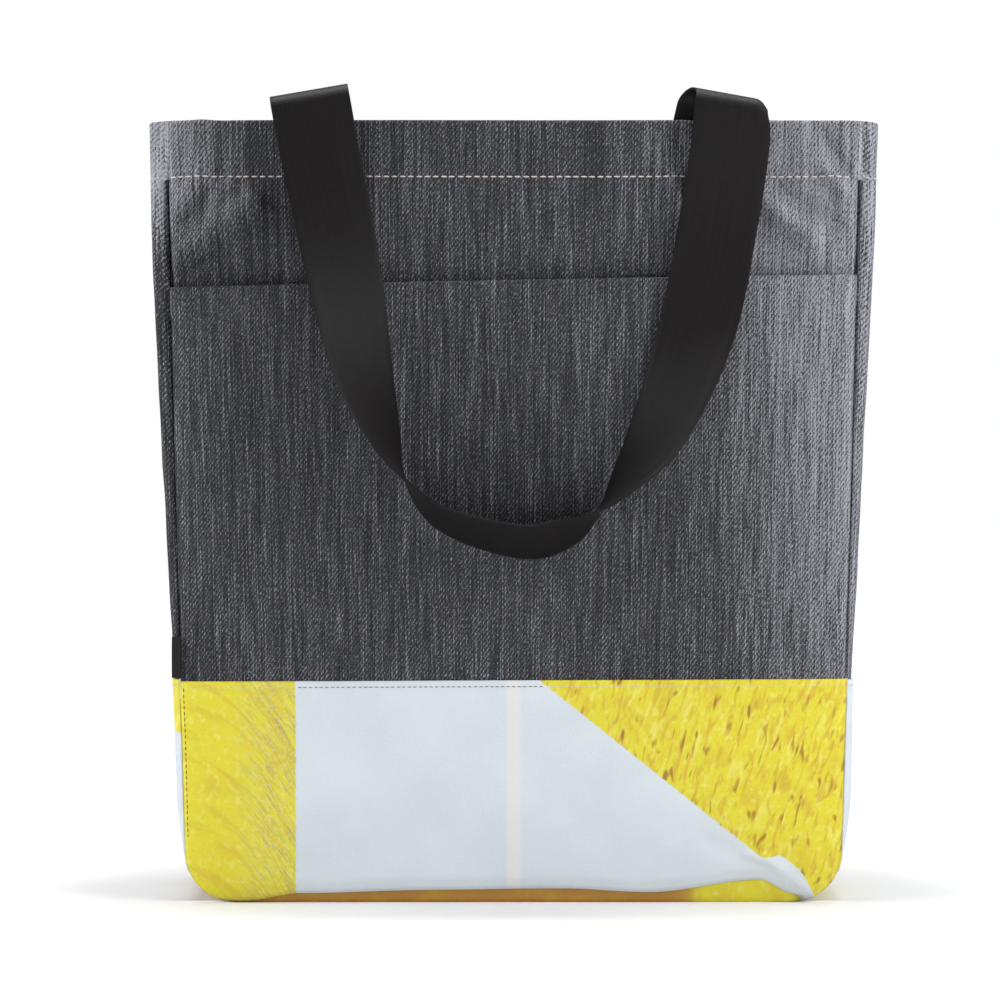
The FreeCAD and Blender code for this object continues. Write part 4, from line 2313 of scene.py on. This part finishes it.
@dataclass(frozen=True)
class Lamp:
    """A soft rectangular lamp.

    Attributes:
        name: the lamp's name.
        place: where it stands.
        aim: the point that it faces.
        size: width and height.
        power: in watts.
    """

    name: str
    place: tuple[float, float, float]
    aim: tuple[float, float, float]
    size: tuple[float, float]
    power: float

    def light(self) -> None:
        """Adds the lamp to the scene."""
        data = bpy.data.lights.new(self.name, "AREA")
        data.shape = "RECTANGLE"
        data.size, data.size_y = self.size
        data.energy = self.power
        lamp = bpy.data.objects.new(self.name, data)
        lamp.location = self.place
        lamp.rotation_euler = (Vector(self.aim) - Vector(self.place)).to_track_quat("-Z", "Y").to_euler()
        bpy.context.scene.collection.objects.link(lamp)


LAMPS = (
    Lamp("right_softbox", (0.62, -0.42, 0.54), (0.05, -0.04, 0.27), (0.35, 0.8), 5.3),
    Lamp("left_softbox", (-0.75, -0.30, 0.46), (-0.12, -0.04, 0.28), (0.35, 0.7), 4.4),
    Lamp("low_fill", (-0.10, -0.95, 0.06), (0.0, -0.05, 0.22), (0.6, 0.10), 1.0),
    Lamp("top_softbox", (0.0, 0.04, 1.15), (0.0, 0.0, 0.30), (0.9, 0.32), 14.0),
)


@dataclass
class Studio:
    """Floor, backdrop, lamps and camera.

    Attributes:
        form: the bag's form.
        distance: camera to the bag's front.
        aim_across: where the camera looks, across.
        aim_up: its height.
        frame_width: width of the view at the bag's front.
        near_glow: the floor's own white close to the bag, where shadows fall.
        far_glow: what is added to it further away.
        glow_from: distances from the bag between which it comes in.
        surroundings: strength of the white surroundings as light.
    """

    form: BagForm
    distance: float = 1.50
    aim_across: float = -0.0069
    aim_up: float = 0.2059
    frame_width: float = 0.511
    sensor: float = 36.0
    half_floor: float = 6.0
    floor: Colour = (0.80, 0.80, 0.80)
    near_glow: float = 0.04
    far_glow: float = 0.96
    glow_from: tuple[float, float] = (0.200, 0.40)
    surroundings: float = 0.17

    def floor_finish(self) -> Material:
        """Pale floor that keeps shadows and reads as white elsewhere.

        Returns:
            The floor's material.
        """
        nodes = FinishNodes("studio_floor")
        nodes.shader.inputs["Base Color"].default_value = (*self.floor, 1)
        nodes.rough(1.0, 0.0)
        rays = nodes.node("ShaderNodeLightPath")
        seen = nodes.math("MAXIMUM", rays.outputs["Is Camera Ray"], rays.outputs["Is Glossy Ray"])
        seen = nodes.math("MAXIMUM", seen, rays.outputs["Is Transmission Ray"])
        nodes.shader.inputs["Emission Color"].default_value = (1, 1, 1, 1)
        place, _ = nodes.axes("Object")
        away = nodes.node("ShaderNodeVectorMath", operation="LENGTH")
        nodes.feed(away.inputs[0], place)
        far = nodes.math("MULTIPLY", nodes.eased(away.outputs["Value"], *self.glow_from), self.far_glow)
        strength = nodes.math("MULTIPLY", seen, nodes.math("ADD", far, self.near_glow))
        nodes.feed(nodes.shader.inputs["Emission Strength"], strength)
        return nodes.material

    def world(self) -> None:
        """White surroundings, dimmer as light than as background."""
        world = bpy.data.worlds.new("studio_world")
        bpy.context.scene.world = world
        world.use_nodes = True
        tree = world.node_tree
        background = tree.nodes["Background"]
        background.inputs["Color"].default_value = (1, 1, 1, 1)
        rays = tree.nodes.new("ShaderNodeLightPath")
        seen = tree.nodes.new("ShaderNodeMapRange")
        seen.inputs["To Min"].default_value = self.surroundings
        seen.inputs["To Max"].default_value = 1.0
        tree.links.new(rays.outputs["Is Camera Ray"], seen.inputs["Value"])
        tree.links.new(seen.outputs["Result"], background.inputs["Strength"])

    def build(self) -> None:
        """Sets up the whole studio."""
        maker = bmesh.new()
        bmesh.ops.create_grid(maker, x_segments=1, y_segments=1, size=self.half_floor)
        floor = new_object("studio_floor", maker, [self.floor_finish()])
        self.world()
        for lamp in LAMPS:
            lamp.light()
        camera_data = bpy.data.cameras.new("camera")
        camera_data.sensor_width = self.sensor
        camera_data.lens = camera_data.sensor_width * self.distance / self.frame_width
        camera = bpy.data.objects.new("camera", camera_data)
        camera.location = (self.aim_across, self.form.front - self.distance, self.aim_up)
        camera.rotation_euler = (math.pi / 2, 0, 0)
        bpy.context.scene.collection.objects.link(camera)
        bpy.context.scene.camera = camera
        bpy.context.scene.view_settings.view_transform = "Standard"


def main() -> None:
    """Builds the studio and every piece of the bag."""
    logging.basicConfig(level=logging.INFO, format="%(name)s: %(message)s")
    form = BagForm.from_frame()
    Studio(form).build()
    finishes = Finishes.make()
    Bottom(form, finishes).build()
    face = Face(form, finishes)
    face.build_front()
    face.build_back()
    for side in (-1, 1):
        Gusset(form, finishes, side).build()
    Handle(form, finishes, FRONT_LOOP).build("front_handle", "front", "front_handle")
    back = Handle(form, finishes, FRONT_LOOP, back=True, shift=-0.006, inner_shift=(0.0, 0.0), drop=0.003)
    back.build("back_handle", "back", "back_handle")
    Bindings(form, finishes).build()
    SideLabel(finishes).build()


if __name__ == "__main__":
    main()
